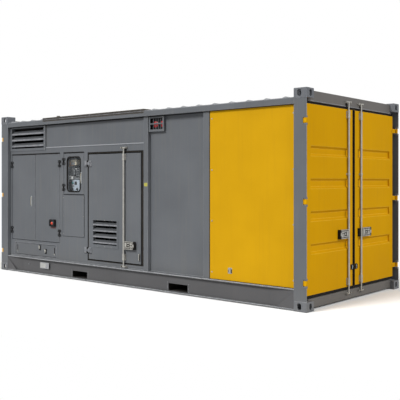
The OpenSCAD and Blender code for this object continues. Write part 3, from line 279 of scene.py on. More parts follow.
@dataclass(frozen=True)
class PlatedSteel:
    """Hot-dip galvanised or zinc-plated steel.

    It gives a pale metal with a patchwork of crystals, dulled by white bloom.
    """

    name: str
    colour: str
    bloom: str
    spangle_mm: float = 14.0
    bloom_mm: float = 70.0
    roughness: float = 0.42
    metallic: float = 0.75

    def build(self) -> bpy.types.Material:
        """Builds the material.

        Returns:
            The finished material.
        """
        plating = Surface(self.name)
        crystals = plating.add("ShaderNodeTexVoronoi", {
            "Vector": plating.place, "Scale": per_metre(self.spangle_mm)}).outputs["Color"]
        value = plating.out("ShaderNodeSeparateColor", {0: crystals})
        bloom = plating.noise(self.bloom_mm, 4.0)
        crystal_tone = plating.out("ShaderNodeHueSaturation", {
            "Color": linear(self.colour), "Value": plating.spread(value, low=0.86, high=1.1)})
        return plating.dress(
            Base_Color=plating.blend(plating.spread(bloom, 0.38, 0.64, high=0.8), crystal_tone, self.bloom),
            Roughness=plating.spread(value, low=self.roughness - 0.06, high=self.roughness + 0.1),
            Metallic=self.metallic, Normal=plating.bump(bloom, 0.2, 0.001))


@dataclass(frozen=True)
class Moulded:
    """Moulded rubber or plastic.

    It gives an even colour broken by a fine grain, with duller handled patches.
    """

    name: str
    colour: str
    bloom: str
    roughness: float = 0.5
    patch_mm: float = 45.0
    grain_mm: float = 3.0
    specular: float = 0.4

    def build(self) -> bpy.types.Material:
        """Builds the material.

        Returns:
            The finished material.
        """
        moulding = Surface(self.name)
        patches = moulding.noise(self.patch_mm, 4.0)
        return moulding.dress(
            Base_Color=moulding.blend(moulding.spread(patches, 0.38, 0.66), self.colour, self.bloom),
            Roughness=moulding.spread(patches, low=self.roughness - 0.12, high=self.roughness + 0.12),
            Specular_IOR_Level=self.specular,
            Normal=moulding.bump(moulding.noise(self.grain_mm, 2.0), 0.25, 0.0004))


@dataclass(frozen=True)
class Glazing:
    """Toughened float glass with a film of dust.

    It gives a clear pane that keeps a sharp highlight and a faint grey veil.
    """

    name: str
    colour: str
    alpha: float
    dust_alpha: float
    film_mm: float = 160.0

    def build(self) -> bpy.types.Material:
        """Builds the material.

        Returns:
            The finished material.
        """
        pane = Surface(self.name)
        film = pane.noise(self.film_mm, 5.0)
        return pane.dress(
            Base_Color=linear(self.colour), IOR=1.52, Specular_IOR_Level=0.2,
            Alpha=pane.spread(film, 0.4, 0.7, self.alpha, self.dust_alpha),
            Roughness=pane.spread(film, low=0.03, high=0.2))


@dataclass(frozen=True)
class LampLens:
    """Moulded polycarbonate lens with a prismatic inside.

    It gives a deep colour that glows a little through the ribs behind its gloss.
    """

    name: str
    colour: str
    deep: str
    rib_mm: float = 7.0

    def build(self) -> bpy.types.Material:
        """Builds the material.

        Returns:
            The finished material.
        """
        lens = Surface(self.name)
        ribs = lens.add("ShaderNodeTexWave", {
            "Vector": lens.place, "Scale": per_metre(self.rib_mm) / 6.3, "Distortion": 0.0},
            bands_direction="Z").outputs["Fac"]
        tone = lens.blend(ribs, self.colour, self.deep)
        return lens.dress(Base_Color=tone, Emission_Color=tone, Emission_Strength=0.12, Roughness=0.45,
                          IOR=1.58, Normal=lens.bump(ribs, 0.3, 0.001))


class Finish(Enum):
    """The finishes on the generator set."""

    GREY = SprayedSteel("sprayed_enamel_grey", "#5d6064", "#65686c")
    # darker grey for the bottom rail's web, gussets and fork-pocket mouths: painted shade under the rail's top flange
    RAIL_WEB = SprayedSteel("road_grimed_enamel_grey", "#505052", "#59595b", dust="#605d5a")
    RAIL_END = SprayedSteel("dusty_enamel_grey", "#605d5b", "#676461")
    # darker grey of the louvre slats: painted shade from the slat above, not soot
    SOOTED = SprayedSteel("sooted_louvre_enamel", "#4a4c4f", "#535558", roughness=0.55)
    # lighter grey for rounded edges, lips, welds and small fittings: painted highlight where light catches them, with
    # some real rubbed wear
    GREY_EDGE = SprayedSteel("sprayed_enamel_grey_edges", "#707378", "#777a7f", wear=0.55)
    # much lighter grey for the rounded edge of the bottom rail's top flange: painted highlight, with rubbed wear
    RAIL_EDGE = SprayedSteel("rubbed_rail_edges", "#9b9da1", "#a7a9ac", wear=0.7, worn="#c4c5c7")
    # light grey for the ledge along the wall's fold: painted highlight, with rubbed wear
    GREY_FOLD = SprayedSteel("sprayed_enamel_grey_folds", "#92959a", "#9a9da2", wear=0.55)
    CAST_GREY = SprayedSteel("sprayed_cast_steel_grey", "#616469", "#6a6d72", roughness=0.55,
                             peel_mm=5.0, wear=0.12)
    YELLOW = SprayedSteel("sprayed_enamel_yellow", "#c9980f", "#d19f11", dust="#a97c22",
                          streak_share=0.1, ground_share=0.2, specular=0.05)
    # the sides' yellow paint, shifted in tone to match the light on the ends: painted light
    YELLOW_DOOR = SprayedSteel("sprayed_enamel_door_yellow", "#cf9806", "#d59e08", dust="#a97c22",
                               streak_share=0.1, ground_share=0.15, specular=0.02)
    # lighter yellow for rounded edges: painted highlight, with rubbed wear
    YELLOW_EDGE = SprayedSteel("sprayed_enamel_yellow_edges", "#d4a214", "#daa91a", dust="#a97c22",
                               wear=0.4, worn="#e6b640", specular=0.05)
    ROOF = SprayedSteel("weathered_roof_paint", "#3f3b37", "#35322e", roughness=0.68, streak_share=0.4,
                        dust="#57514a")
    # lighter roof paint for rounded edges: painted highlight, with rubbed wear
    ROOF_EDGE = SprayedSteel("weathered_roof_paint_edges", "#57534c", "#625d55", roughness=0.68,
                             wear=0.6, worn="#8b857a")
    # pale grey for the roof sheets and ribs: the roof's top made lighter than the walls' grey, painted highlight
    ROOF_SHEET = SprayedSteel("sun_bleached_roof_paint", "#85878a", "#8f9193", roughness=0.62)
    UNDERBODY = SprayedSteel("bitumen_underbody_coat", "#191817", "#211f1d", roughness=0.8, dust="#35312c",
                             specular=0.1)
    # matt black for faces that look into the enclosure: partly the acoustic lining, partly painted shade of the unlit
    # inside
    LINING = SprayedSteel("matt_black_lining", "#1b1b1b", "#232323", roughness=0.9, dust="#2c2b2a",
                          specular=0.05)
    PRIMER = SprayedSteel("rolled_floor_primer", "#3b3c3d", "#32302e", roughness=0.75, ground_share=0.6)
    CABINET = SprayedSteel("powder_coat_anthracite", "#55585b", "#4a4d50", roughness=0.55,
                           streak_share=0.02, ground_share=0.0)
    BLACK = SprayedSteel("powder_coat_black", "#131313", "#1a1a1b", streak_share=0.05,
                         ground_share=0.1, wear=0.1, worn="#3c3c3c", specular=0.15)
    GALVANISED = PlatedSteel("hot_dip_galvanised_steel", "#a9a7a1", "#9b9993")
    ZINC = PlatedSteel("zinc_plated_screws", "#b4b2ab", "#95948e", spangle_mm=5.0, roughness=0.3)
    BRASSY = PlatedSteel("pale_passivated_zinc", "#aaa494", "#918a7a", spangle_mm=6.0, roughness=0.34)
    PLATE = PlatedSteel("brushed_aluminium_plate", "#9c9da0", "#8f9093", spangle_mm=30.0, metallic=0.4)
    RUBBER = Moulded("extruded_epdm_rubber", "#151413", "#1e1c1b", roughness=0.75, specular=0.15)
    # sponge rubber kept darker than rubber is, taking in the shade of the gap round the service door: partly painted
    # shade
    GASKET = Moulded("weathered_sponge_rubber", "#24211e", "#2e2b27", roughness=0.85, specular=0.15)
    SWITCH_BLACK = Moulded("moulded_nylon_black", "#101011", "#19191b", specular=0.2)
    SWITCH_GREY = Moulded("moulded_nylon_grey", "#a9adaf", "#b5b9bb")
    SWITCH_MID = Moulded("moulded_nylon_mid_grey", "#75797c", "#84888b", specular=0.2)
    SWITCH_PALE = Moulded("moulded_abs_pale_blue", "#b7c3ce", "#a9b5c1", roughness=0.45)
    SWITCH_CREAM = Moulded("aged_melamine_cream", "#d9cfb8", "#c9bfa8")
    SWITCH_WHITE = Moulded("moulded_abs_white", "#f3f3f0", "#e6e6e2")
    LABEL = Moulded("bare_vinyl_label", "#a9a9a6", "#b5b5b1", roughness=0.6)
    STOP_RED = Moulded("moulded_nylon_red", "#d8401a", "#c63a17", roughness=0.35, grain_mm=2.0)
    STRIP_RED = Moulded("faded_vinyl_strip", "#4e2b28", "#5b3431", roughness=0.6)
    TAG_GREEN = Moulded("moulded_tag_yellow_green", "#b9b24e", "#a9a247")
    TEAL = Moulded("indicator_lens_teal", "#1fa3a0", "#1b8f8d", roughness=0.2)
    WIRE_TAN = Moulded("pvc_wire_tan", "#d3a673", "#c39664")
    WIRE_ORANGE = Moulded("pvc_wire_orange", "#d87a34", "#c86d2c")
    WIRE_DARK = Moulded("pvc_wire_black", "#201f1f", "#2b2a29")
    GLASS = Glazing("dusty_toughened_glass", "#aab0b4", 0.03, 0.1)
    RED_LENS = LampLens("moulded_polycarbonate_red", "#c81c1e", "#8e1014")

    @property
    def material(self) -> bpy.types.Material:
        """The finish's material, built when it is first asked for."""
        return bpy.data.materials.get(self.value.name) or self.value.build()


# lighter copies of finishes for the faces of rounded edges: painted highlight where light catches the edges
EDGES = {Finish.GREY: Finish.GREY_EDGE, Finish.YELLOW: Finish.YELLOW_EDGE, Finish.YELLOW_DOOR: Finish.YELLOW_EDGE,
         Finish.ROOF: Finish.ROOF_EDGE}


# ---- places and meshes

SHARP = math.radians(28)
OUT = (0, -1, 0)
UPWARDS = (0, 0, 1)


class Face(Enum):
    """Upright faces that fittings are laid out on: which kind, and the signs of its corner."""

    FRONT = ("side", 1, -1)
    BACK = ("side", 1, 1)
    RIGHT_FRONT = ("end", 1, -1)
    RIGHT_BACK = ("end", 1, 1)
    LEFT_FRONT = ("end", -1, -1)
    LEFT_BACK = ("end", -1, 1)

    @property
    def matrix(self) -> Matrix:
        """Takes a place on this face, in millimetres, to the frame's metres.

        Returns:
            The matrix for (along, inwards, up).
        """
        kind, sx, sy = self.value
        half_l, half_w = LENGTH * MM / 2, WIDTH * MM / 2
        if kind == "side":
            return Matrix(((MM, 0, 0, -half_l), (0, -sy * MM, 0, sy * half_w), (0, 0, MM, 0), (0, 0, 0, 1)))
        return Matrix(((0, -sx * MM, 0, sx * half_l), (-sy * MM, 0, 0, sy * half_w), (0, 0, MM, 0), (0, 0, 0, 1)))

    @property
    def tag(self) -> str:
        """The face's name in the names of its pieces."""
        return self.name.lower()

    @property
    def outward(self) -> Vector:
        """The direction that looks out of this face."""
        return (self.matrix.to_3x3() @ Vector((0, -1, 0))).normalized()


SIDES = (Face.FRONT, Face.BACK)
ENDS = (Face.RIGHT_FRONT, Face.RIGHT_BACK, Face.LEFT_FRONT, Face.LEFT_BACK)


def settled(obj: bpy.types.Object) -> bpy.types.Object:
    """Bakes an object's modifiers into its mesh.

    Args:
        obj: Object with live modifiers.

    Returns:
        The same object, with a plain mesh and no modifier.
    """
    depsgraph = bpy.context.evaluated_depsgraph_get()
    baked = bpy.data.meshes.new_from_object(obj.evaluated_get(depsgraph), depsgraph=depsgraph)
    old = obj.data
    obj.modifiers.clear()
    obj.data = baked
    bpy.data.meshes.remove(old)
    baked.name = obj.name
    return obj


def mesh_of(shape: bmesh.types.BMesh, name: str) -> bpy.types.Mesh:
    """Turns a finished shape into a mesh, and frees it.

    Args:
        shape: The shape, in its last place.
        name: The mesh's name.

    Returns:
        The mesh.
    """
    mesh = bpy.data.meshes.new(name)
    shape.to_mesh(mesh)
    shape.free()
    return mesh


def show(mesh: bpy.types.Mesh, name: str) -> bpy.types.Object:
    """Links a mesh into the scene as a named object.

    Args:
        mesh: Finished mesh, already in place.
        name: The object's name.

    Returns:
        The new object.
    """
    obj = bpy.data.objects.new(name, mesh)
    bpy.context.scene.collection.objects.link(obj)
    return obj


def box_outline(along: Span, up: Span) -> list[Span]:
    """Returns the four corners of an upright rectangle on a face."""
    return [(along[0], up[0]), (along[1], up[0]), (along[1], up[1]), (along[0], up[1])]


def grown(span: Span, by: float) -> Span:
    """Returns a span with both its ends moved outwards."""
    return span[0] - by, span[1] + by


def bank(along: Span, depth: Span, up: Span, bevel: float, count: int, step: Span, slots: Sequence[int]) -> list[Row]:
    """Repeats a block in even steps.

    Args:
        along: Ends of the first block along the face.
        depth: Its ends inwards.
        up: Its bottom and top.
        bevel: Width of its rounding.
        count: The number of blocks.
        step: From each to the next, along the face and up.
        slots: The slots that they take in turn.

    Returns:
        A row for each block.
    """
    (a0, a1), (z0, z1), (da, dz) = along, up, step
    return [((a0 + i * da, a1 + i * da), depth, (z0 + i * dz, z1 + i * dz), bevel, slots[i % len(slots)])
            for i in range(count)]


def grid(alongs: Sequence[float], depth: float, heights: Sequence[float]) -> list[Point]:
    """Returns places at every height on every upright line, all at one depth."""
    return [(a, depth, z) for a in alongs for z in heights]


def ordered(one: float, other: float) -> Span:
    """Returns two places as a span, the lower one first."""
    return min(one, other), max(one, other)


def circle(radius: float, steps: int) -> list[Span]:
    """Returns the corners of a circle drawn with straight steps."""
    turns = [2 * math.pi * i / steps for i in range(steps)]
    return [(radius * math.cos(turn), radius * math.sin(turn)) for turn in turns]


def soften(obj: bpy.types.Object, bevel: float, segments: int, edge_slot: int = -1) -> bpy.types.Object:
    """Rounds an object's sharp edges and evens the light over its flat faces.

    Args:
        obj: Object to round.
        bevel: Width of the rounding in millimetres; 0 leaves the edges sharp.
        segments: Facets across the rounding.
        edge_slot: Material slot for the rounding's own faces, or -1.

    Returns:
        The same object, with its modifiers baked.
    """
    obj.data.shade_smooth()
    if bevel:
        rounding = obj.modifiers.new("rounding", "BEVEL")
        rounding.width = bevel * MM
        rounding.segments = segments
        rounding.limit_method = "ANGLE"
        rounding.angle_limit = SHARP
        rounding.use_clamp_overlap = False
        rounding.material = edge_slot
    else:
        obj.data.set_sharp_from_angle(angle=SHARP)
    even = obj.modifiers.new("even_light", "WEIGHTED_NORMAL")
    even.weight = 80
    even.keep_sharp = True
    return settled(obj)


@dataclass
class Maker:
    """Gathers shapes laid out on a face and turns them into one piece."""

    face: Face = Face.FRONT
    shapes: bmesh.types.BMesh = field(default_factory=bmesh.new)

    def _keep(self, shape: bmesh.types.BMesh, bevel: float, segments: int, slot: int) -> None:
        """Rounds a shape's edges and adds it to the piece.

        Args:
            shape: The shape, in the face's millimetres.
            bevel: Width of its rounding.
            segments: Facets across the rounding.
            slot: Number of its finish.
        """
        bmesh.ops.recalc_face_normals(shape, faces=shape.faces)
        if bevel:
            sharp = [e for e in shape.edges if e.is_manifold and e.calc_face_angle() > SHARP]
            bmesh.ops.bevel(shape, geom=sharp, offset=bevel, segments=segments, profile=0.5,
                            affect="EDGES", clamp_overlap=True)
        for f in shape.faces:
            f.material_index = slot
            f.smooth = True
        spare = mesh_of(shape, "spare")
        self.shapes.from_mesh(spare)
        bpy.data.meshes.remove(spare)

    def block(self, along: Span, depth: Span, up: Span, bevel: float = 1.0, slot: int = 0, segments: int = 2) -> None:
        """Adds a block with rounded edges.

        Args:
            along: Its two ends along the face.
            depth: Its front and back.
            up: Its bottom and top.
            bevel: Width of the rounding.
            slot: Number of its finish.
            segments: Facets across the rounding.
        """
        self.prism(box_outline(ordered(*along), up), depth, bevel, slot, segments)

    def blocks(self, rows: Sequence[Row]) -> None:
        """Adds a block for each row."""
        for row in rows:
            self.block(*row)

    def prism(self, outline: Sequence[Span], depth: Span, bevel: float = 1.0, slot: int = 0,
              segments: int = 2) -> None:
        """Adds an outline drawn on the face, taken straight inwards.

        Args:
            outline: Corners as (along, up).
            depth: Its front and back.
            bevel: Width of the rounding.
            slot: Number of its finish.
            segments: Facets across the rounding.
        """
        shape = bmesh.new()
        front = [shape.verts.new((a, depth[0], z)) for a, z in outline]
        back = [shape.verts.new((a, depth[1], z)) for a, z in outline]
        count = len(outline)
        shape.faces.new(front)
        shape.faces.new(list(reversed(back)))
        for i in range(count):
            j = (i + 1) % count
            shape.faces.new((front[i], back[i], back[j], front[j]))
        self._keep(shape, bevel, segments, slot)

    def ring(self, outer: Sequence[Span], inner: Sequence[Span], depth: Span, bevel: float = 1.0,
             slot: int = 0, upright: bool = False) -> None:
        """Adds a flat frame between two outlines with the same number of corners.

        Args:
            outer: Outer corners as (along, up), or as (along, depth) if it is upright.
            inner: Inner corners likewise.
            depth: Its front and back, or its bottom and top if it is upright.
            bevel: Width of the rounding.
            slot: Number of its finish.
            upright: Whether it lies level and is taken upwards.
        """
        shape = bmesh.new()
        loops = [[shape.verts.new((a, b, d) if upright else (a, d, b)) for a, b in line]
                 for d in depth for line in (outer, inner)]
        count = len(outer)
        for i in range(count):
            j = (i + 1) % count
            for near, far in ((0, 1), (1, 3), (3, 2), (2, 0)):
                shape.faces.new((loops[near][i], loops[near][j], loops[far][j], loops[far][i]))
        self._keep(shape, bevel, 2, slot)

    def lathe(self, centre: Point, axis: Point, profile: Sequence[Span], slot: int = 0, steps: int = 24) -> None:
        """Adds a turned shape.

        Args:
            centre: Where its axis starts.
            axis: Direction of its axis.
            profile: (radius, distance along the axis) from one end to the other.
            slot: Number of its finish.
            steps: Facets round it.
        """
        shape = bmesh.new()
        turn = Vector((0, 0, 1)).rotation_difference(Vector(axis)).to_matrix().to_4x4()
        place = Matrix.Translation(centre) @ turn
        rings: list[list[bmesh.types.BMVert]] = []
        for radius, rise in profile:
            spots = 1 if radius < 1e-6 else steps
            rings.append([shape.verts.new(place @ Vector((*spot, rise))) for spot in circle(radius, steps)[:spots]])
        for low, high in zip(rings, rings[1:]):
            for i in range(steps):
                j = (i + 1) % steps
                corners = [low[i % len(low)], low[j % len(low)], high[j % len(high)], high[i % len(high)]]
                shape.faces.new(list(dict.fromkeys(corners)))
        for end in (rings[0], rings[-1]):
            if len(end) > 1:
                shape.faces.new(end)
        self._keep(shape, 0.0, 1, slot)

    def tube(self, path: Sequence[Point], radii: Sequence[float], slot: int = 0, steps: int = 12) -> None:
        """Adds a round bar along a path, with a radius at each point.

        Args:
            path: The points that it follows.
            radii: Its radius at each of them.
            slot: Number of its finish.
            steps: Facets round it.
        """
        shape = bmesh.new()
        points = [Vector(p) for p in path]
        rings = []
        for i, point in enumerate(points):
            ahead = (points[min(i + 1, len(points) - 1)] - points[max(i - 1, 0)]).normalized()
            turn = Vector((0, 0, 1)).rotation_difference(ahead)
            rings.append([shape.verts.new(point + turn @ Vector((*spot, 0))) for spot in circle(radii[i], steps)])
        for low, high in zip(rings, rings[1:]):
            shift = min(range(steps), key=lambda s: (low[0].co - high[s].co).length)
            for k in range(steps):
                shape.faces.new((low[k], low[(k + 1) % steps], high[(k + 1 + shift) % steps],
                                 high[(k + shift) % steps]))
        shape.faces.new(rings[0])
        shape.faces.new(rings[-1])
        self._keep(shape, 0.0, 1, slot)

    def piece(self, name: str, body: str, finishes: Sequence[Finish], replaces: Sequence[str] = ()) -> bpy.types.Object:
        """Puts the gathered shapes in place as one piece.

        Args:
            name: The piece's name.
            body: CAD body that it moves with.
            finishes: Its finishes, in the order of the slots.
            replaces: CAD nodes that it stands for.

        Returns:
            The finished object.
        """
        matrix = self.face.matrix
        self.shapes.transform(matrix)
        if matrix.determinant() < 0:
            bmesh.ops.reverse_faces(self.shapes, faces=self.shapes.faces)
        mesh = mesh_of(self.shapes, name)
        for finish in finishes:
            mesh.materials.append(finish.material)
        mesh.set_sharp_from_angle(angle=math.radians(50))
        obj = show(mesh, name)
        even = obj.modifiers.new("even_light", "WEIGHTED_NORMAL")
        even.keep_sharp = True
        settled(obj)
        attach(obj, body)
        if replaces:
            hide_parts(*replaces)
        return obj


def round_outline(along: Span, up: Span, radius: float, steps: int = 8) -> list[Span]:
    """Returns the corners of a rectangle with round corners on a face.

    Args:
        along: Its two ends along the face.
        up: Its bottom and top.
        radius: Radius of its corners.
        steps: Facets in each corner.

    Returns:
        The corners as (along, up), in one turn.
    """
    centres = [(along[1] - radius, up[0] + radius, -90), (along[1] - radius, up[1] - radius, 0),
               (along[0] + radius, up[1] - radius, 90), (along[0] + radius, up[0] + radius, 180)]
    return [(a + radius * math.cos(math.radians(start + 90 * i / steps)),
             z + radius * math.sin(math.radians(start + 90 * i / steps)))
            for a, z, start in centres for i in range(steps + 1)]


RECORD = frame["record"]
BODY_OF = {node: body for body, nodes in RECORD["behaviour"]["bodies"].items() for node in nodes}


@dataclass(frozen=True)
class CarriedShape:
    """A CAD node shown through a copy with rounded edges and its finish; the rounded edges get a lighter copy of it, a
    painted highlight, and faces that look into the enclosure can get painted shade.
    """

    node: str
    finish: Finish
    bevel: float = 2.0
    segments: int = 2
    keep: Callable[[Vector], bool] | None = None
    name: str = ""
    # lighter finish for the rounded edges, a painted highlight; when None the finish's own lighter copy
    edge: Finish | None = None
    lining_axis: int = -1

    def build(self) -> bpy.types.Object:
        """Builds the copy and lets it stand for the node.

        Returns:
            The finished object.
        """
        shape = bmesh.new()
        shape.from_mesh(frame["nodes"][self.node].data)
        bmesh.ops.remove_doubles(shape, verts=shape.verts, dist=0.02 * MM)
        if self.keep:
            self._drop_others(shape)
        bmesh.ops.dissolve_limit(shape, angle_limit=math.radians(0.6), verts=shape.verts, edges=shape.edges)
        bmesh.ops.connect_verts_concave(shape, faces=shape.faces)
        for f in shape.faces:
            f.material_index = 2 if self._is_lined(f) else 0
        name = self.name or f"{self.node}_dressed"
        mesh = mesh_of(shape, name)
        edge = self.edge or EDGES.get(self.finish, self.finish)
        for finish in (self.finish, edge, Finish.LINING)[:3 if self.lining_axis >= 0 else 2]:
            mesh.materials.append(finish.material)
        obj = soften(show(mesh, name), self.bevel, self.segments, 1 if self.bevel else -1)
        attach(obj, BODY_OF[self.node])
        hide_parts(self.node)
        return obj

    def _is_lined(self, face: bmesh.types.BMFace) -> bool:
        """Finds the faces that look into the enclosure, which take the black of the lining and painted shade.

        Args:
            face: A face of the merged copy.

        Returns:
            Whether it looks inwards along the chosen axis.
        """
        axis = self.lining_axis
        if axis < 0:
            return False
        middle = face.calc_center_median()[axis] - (HEIGHT * MM / 2 if axis == 2 else 0.0)
        return abs(face.normal[axis]) > 0.9 and face.normal[axis] * middle < 0

    def _drop_others(self, shape: bmesh.types.BMesh) -> None:
        """Deletes the loose solids that the keep test turns down.

        Args:
            shape: The merged copy, in metres.
        """
        left = set(shape.verts)
        dropped = []
        while left:
            solid, edge = set(), [left.pop()]
            while edge:
                vert = edge.pop()
                solid.add(vert)
                near = [e.other_vert(vert) for e in vert.link_edges]
                edge += [v for v in near if v in left]
                left.difference_update(near)
            low = Vector(min(v.co[i] for v in solid) for i in range(3))
            high = Vector(max(v.co[i] for v in solid) for i in range(3))
            if not self.keep((low + high) / 2):
                dropped += solid
        bmesh.ops.delete(shape, geom=dropped, context="VERTS")


# ---- Geometry Nodes


class Tree(Nodes):
    """A Geometry Nodes tree with named inputs, baked to a plain mesh by apply()."""

    def __init__(self, name: str, sizes: dict[str, object]) -> None:
        """Starts a tree.

        Args:
            name: The tree's name.
            sizes: Its inputs' names and defaults: whole numbers, lengths or vectors.
        """
        super().__init__(bpy.data.node_groups.new(name, "GeometryNodeTree"))
        face = self.tree.interface
        face.new_socket("Geometry", in_out="INPUT", socket_type="NodeSocketGeometry")
        for key, value in sizes.items():
            kind = ("NodeSocketInt" if isinstance(value, int) else
                    "NodeSocketFloat" if isinstance(value, float) else "NodeSocketVector")
            face.new_socket(key, in_out="INPUT", socket_type=kind).default_value = value
        face.new_socket("Material", in_out="INPUT", socket_type="NodeSocketMaterial")
        face.new_socket("Geometry", in_out="OUTPUT", socket_type="NodeSocketGeometry")
        self.given = self.add("NodeGroupInput").outputs
        self.grow()

    def stepped_line(self) -> bpy.types.NodeSocket:
        """Turns the carrier's lines into curves.

        Returns:
            The curves, with a point at each step.
        """
        line = self.out("GeometryNodeMeshToCurve", {"Mesh": self.given["Geometry"]})
        return self.out("GeometryNodeResampleCurve", {
            "Curve": line, "Length": self.given["Step"]}, mode="LENGTH")

    def end(self, geometry: bpy.types.NodeSocket) -> None:
        """Realizes the instances, sets the material and closes the tree.

        Args:
            geometry: Output that holds the finished geometry.
        """
        real = self.out("GeometryNodeRealizeInstances", {0: geometry})
        dressed = self.out("GeometryNodeSetMaterial", {
            "Geometry": real, "Material": self.given["Material"]})
        self.add("NodeGroupOutput", {0: dressed})

    def grow(self) -> None:
        """Adds the tree's own nodes."""
        raise NotImplementedError

    def apply(self, carrier: bpy.types.Object, finish: Finish, body: str, **sizes: object) -> bpy.types.Object:
        """Runs the tree on a carrier mesh and keeps the result as a piece.

        Args:
            carrier: Object whose mesh the tree starts from.
            finish: Finish of the result.
            body: CAD body that it moves with.
            **sizes: Inputs that differ from their defaults, with _ for a space.

        Returns:
            The finished object.
        """
        modifier = carrier.modifiers.new("repeat", "NODES")
        modifier.node_group = self.tree
        wanted = {key.replace("_", " "): value for key, value in sizes.items()} | {"Material": finish.material}
        for item in self.tree.interface.items_tree:
            if item.in_out == "INPUT" and item.name in wanted:
                modifier[item.identifier] = wanted[item.name]
        settled(carrier)
        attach(carrier, body)
        return carrier


class HeadTree(Tree):
    """Screw, bolt or rivet heads on points that each say which way they face."""

    def grow(self) -> None:
        """Adds a washer and a head to each point."""
        given = self.given
        half = self.out("ShaderNodeMath", {0: given["Rise"], 1: 0.5}, operation="MULTIPLY")
        lift = self.out("ShaderNodeCombineXYZ", {2: half})
        head = self.out("GeometryNodeMeshCylinder", {
            "Vertices": given["Corners"], "Radius": given["Radius"], "Depth": given["Rise"]})
        raised = self.out("GeometryNodeTransform", {"Geometry": head, "Translation": lift})
        washer = self.out("GeometryNodeMeshCylinder", {
            "Vertices": 12, "Radius": given["Washer"], "Depth": given["Washer rise"]})
        both = self.add("GeometryNodeJoinGeometry", {0: raised})
        self.tree.links.new(washer, both.inputs[0])
        facing = self.add("GeometryNodeInputNamedAttribute", {"Name": "facing"}, data_type="FLOAT_VECTOR")
        aim = self.add("FunctionNodeAlignRotationToVector", {"Vector": facing.outputs[0]}, axis="Z")
        chance = self.add("FunctionNodeRandomValue", {2: 0.0, 3: 6.28, "Seed": given["Seed"]}, data_type="FLOAT")
        spin = self.add("FunctionNodeAxisAngleToRotation", {"Axis": (0, 0, 1), "Angle": chance.outputs[1]})
        turn = self.add("FunctionNodeRotateRotation", {0: aim.outputs[0], 1: spin.outputs[0]},
                        rotation_space="LOCAL")
        heads = self.add("GeometryNodeInstanceOnPoints", {
            "Points": given["Geometry"], "Instance": both.outputs[0], "Rotation": turn.outputs[0]})
        self.end(heads.outputs[0])


class BeadTree(Tree):
    """A round bead, seal or wire along each line of the carrier, with a seeded wander."""

    def grow(self) -> None:
        """Sweeps a circle along the carrier's lines."""
        given = self.given
        place = self.out("GeometryNodeInputPosition")
        noise = self.add("ShaderNodeTexNoise", {
            "Vector": place, "W": given["Seed"], "Scale": 22.0}, noise_dimensions="4D").outputs["Color"]
        centred = self.out("ShaderNodeVectorMath", {0: noise, 1: (0.5, 0.5, 0.5)}, operation="SUBTRACT")
        wander = self.out("ShaderNodeVectorMath", {0: centred, "Scale": given["Wander"]}, operation="SCALE")
        moved = self.out("GeometryNodeSetPosition", {"Geometry": self.stepped_line(), "Offset": wander})
        section = self.out("GeometryNodeCurvePrimitiveCircle", {
            "Resolution": given["Facets"], "Radius": given["Radius"]})
        swept = self.add("GeometryNodeCurveToMesh", {"Curve": moved, "Profile Curve": section, "Fill Caps": True})
        self.end(self.out("GeometryNodeSetShadeSmooth", {0: swept.outputs[0]}))


class WeldTree(Tree):
    """Overlapping weld ripples along each line of the carrier."""

    def grow(self) -> None:
        """Sets a squashed drop on each step of the lines."""
        given = self.given
        drop = self.out("GeometryNodeMeshUVSphere", {
            "Segments": 6, "Rings": 4, "Radius": given["Radius"]})
        size = self.add("FunctionNodeRandomValue", {
            2: 0.8, 3: 1.15, "Seed": given["Seed"]}, data_type="FLOAT").outputs[1]
        drops = self.add("GeometryNodeInstanceOnPoints", {
            "Points": self.stepped_line(), "Instance": drop, "Scale": size})
        self.end(drops.outputs[0])


class RowTree(Tree):
    """The carrier's shape repeated in a straight row, such as slats or roof ribs."""

    def grow(self) -> None:
        """Sets the shape on each point of a line."""
        given = self.given
        line = self.out("GeometryNodeMeshLine", {
            "Count": given["Count"], "Offset": given["Offset"]}, mode="OFFSET")
        row = self.add("GeometryNodeInstanceOnPoints", {"Points": line, "Instance": given["Geometry"]})
        self.end(row.outputs[0])


HEADS = HeadTree("screw_heads", {"Corners": 8, "Radius": 0.008, "Rise": 0.005, "Washer": 0.01,
                               "Washer rise": 0.003, "Seed": 3})
BEADS = BeadTree("swept_beads", {"Facets": 10, "Radius": 0.006, "Step": 0.02, "Wander": 0.0, "Seed": 1.0})
WELDS = WeldTree("weld_ripples", {"Step": 0.007, "Radius": 0.005, "Seed": 8})
ROWS = RowTree("straight_row", {"Count": 4, "Offset": (0.0, 0.0, 0.1)})


class Head(Enum):
    """Kinds of fastener head: corners, radius, rise and washer radius."""

    PAN = (10, 7.5, 5.0, 10.0)
    HEX = (6, 9.0, 7.0, 12.0)
    SMALL = (8, 4.5, 3.0, 5.5)


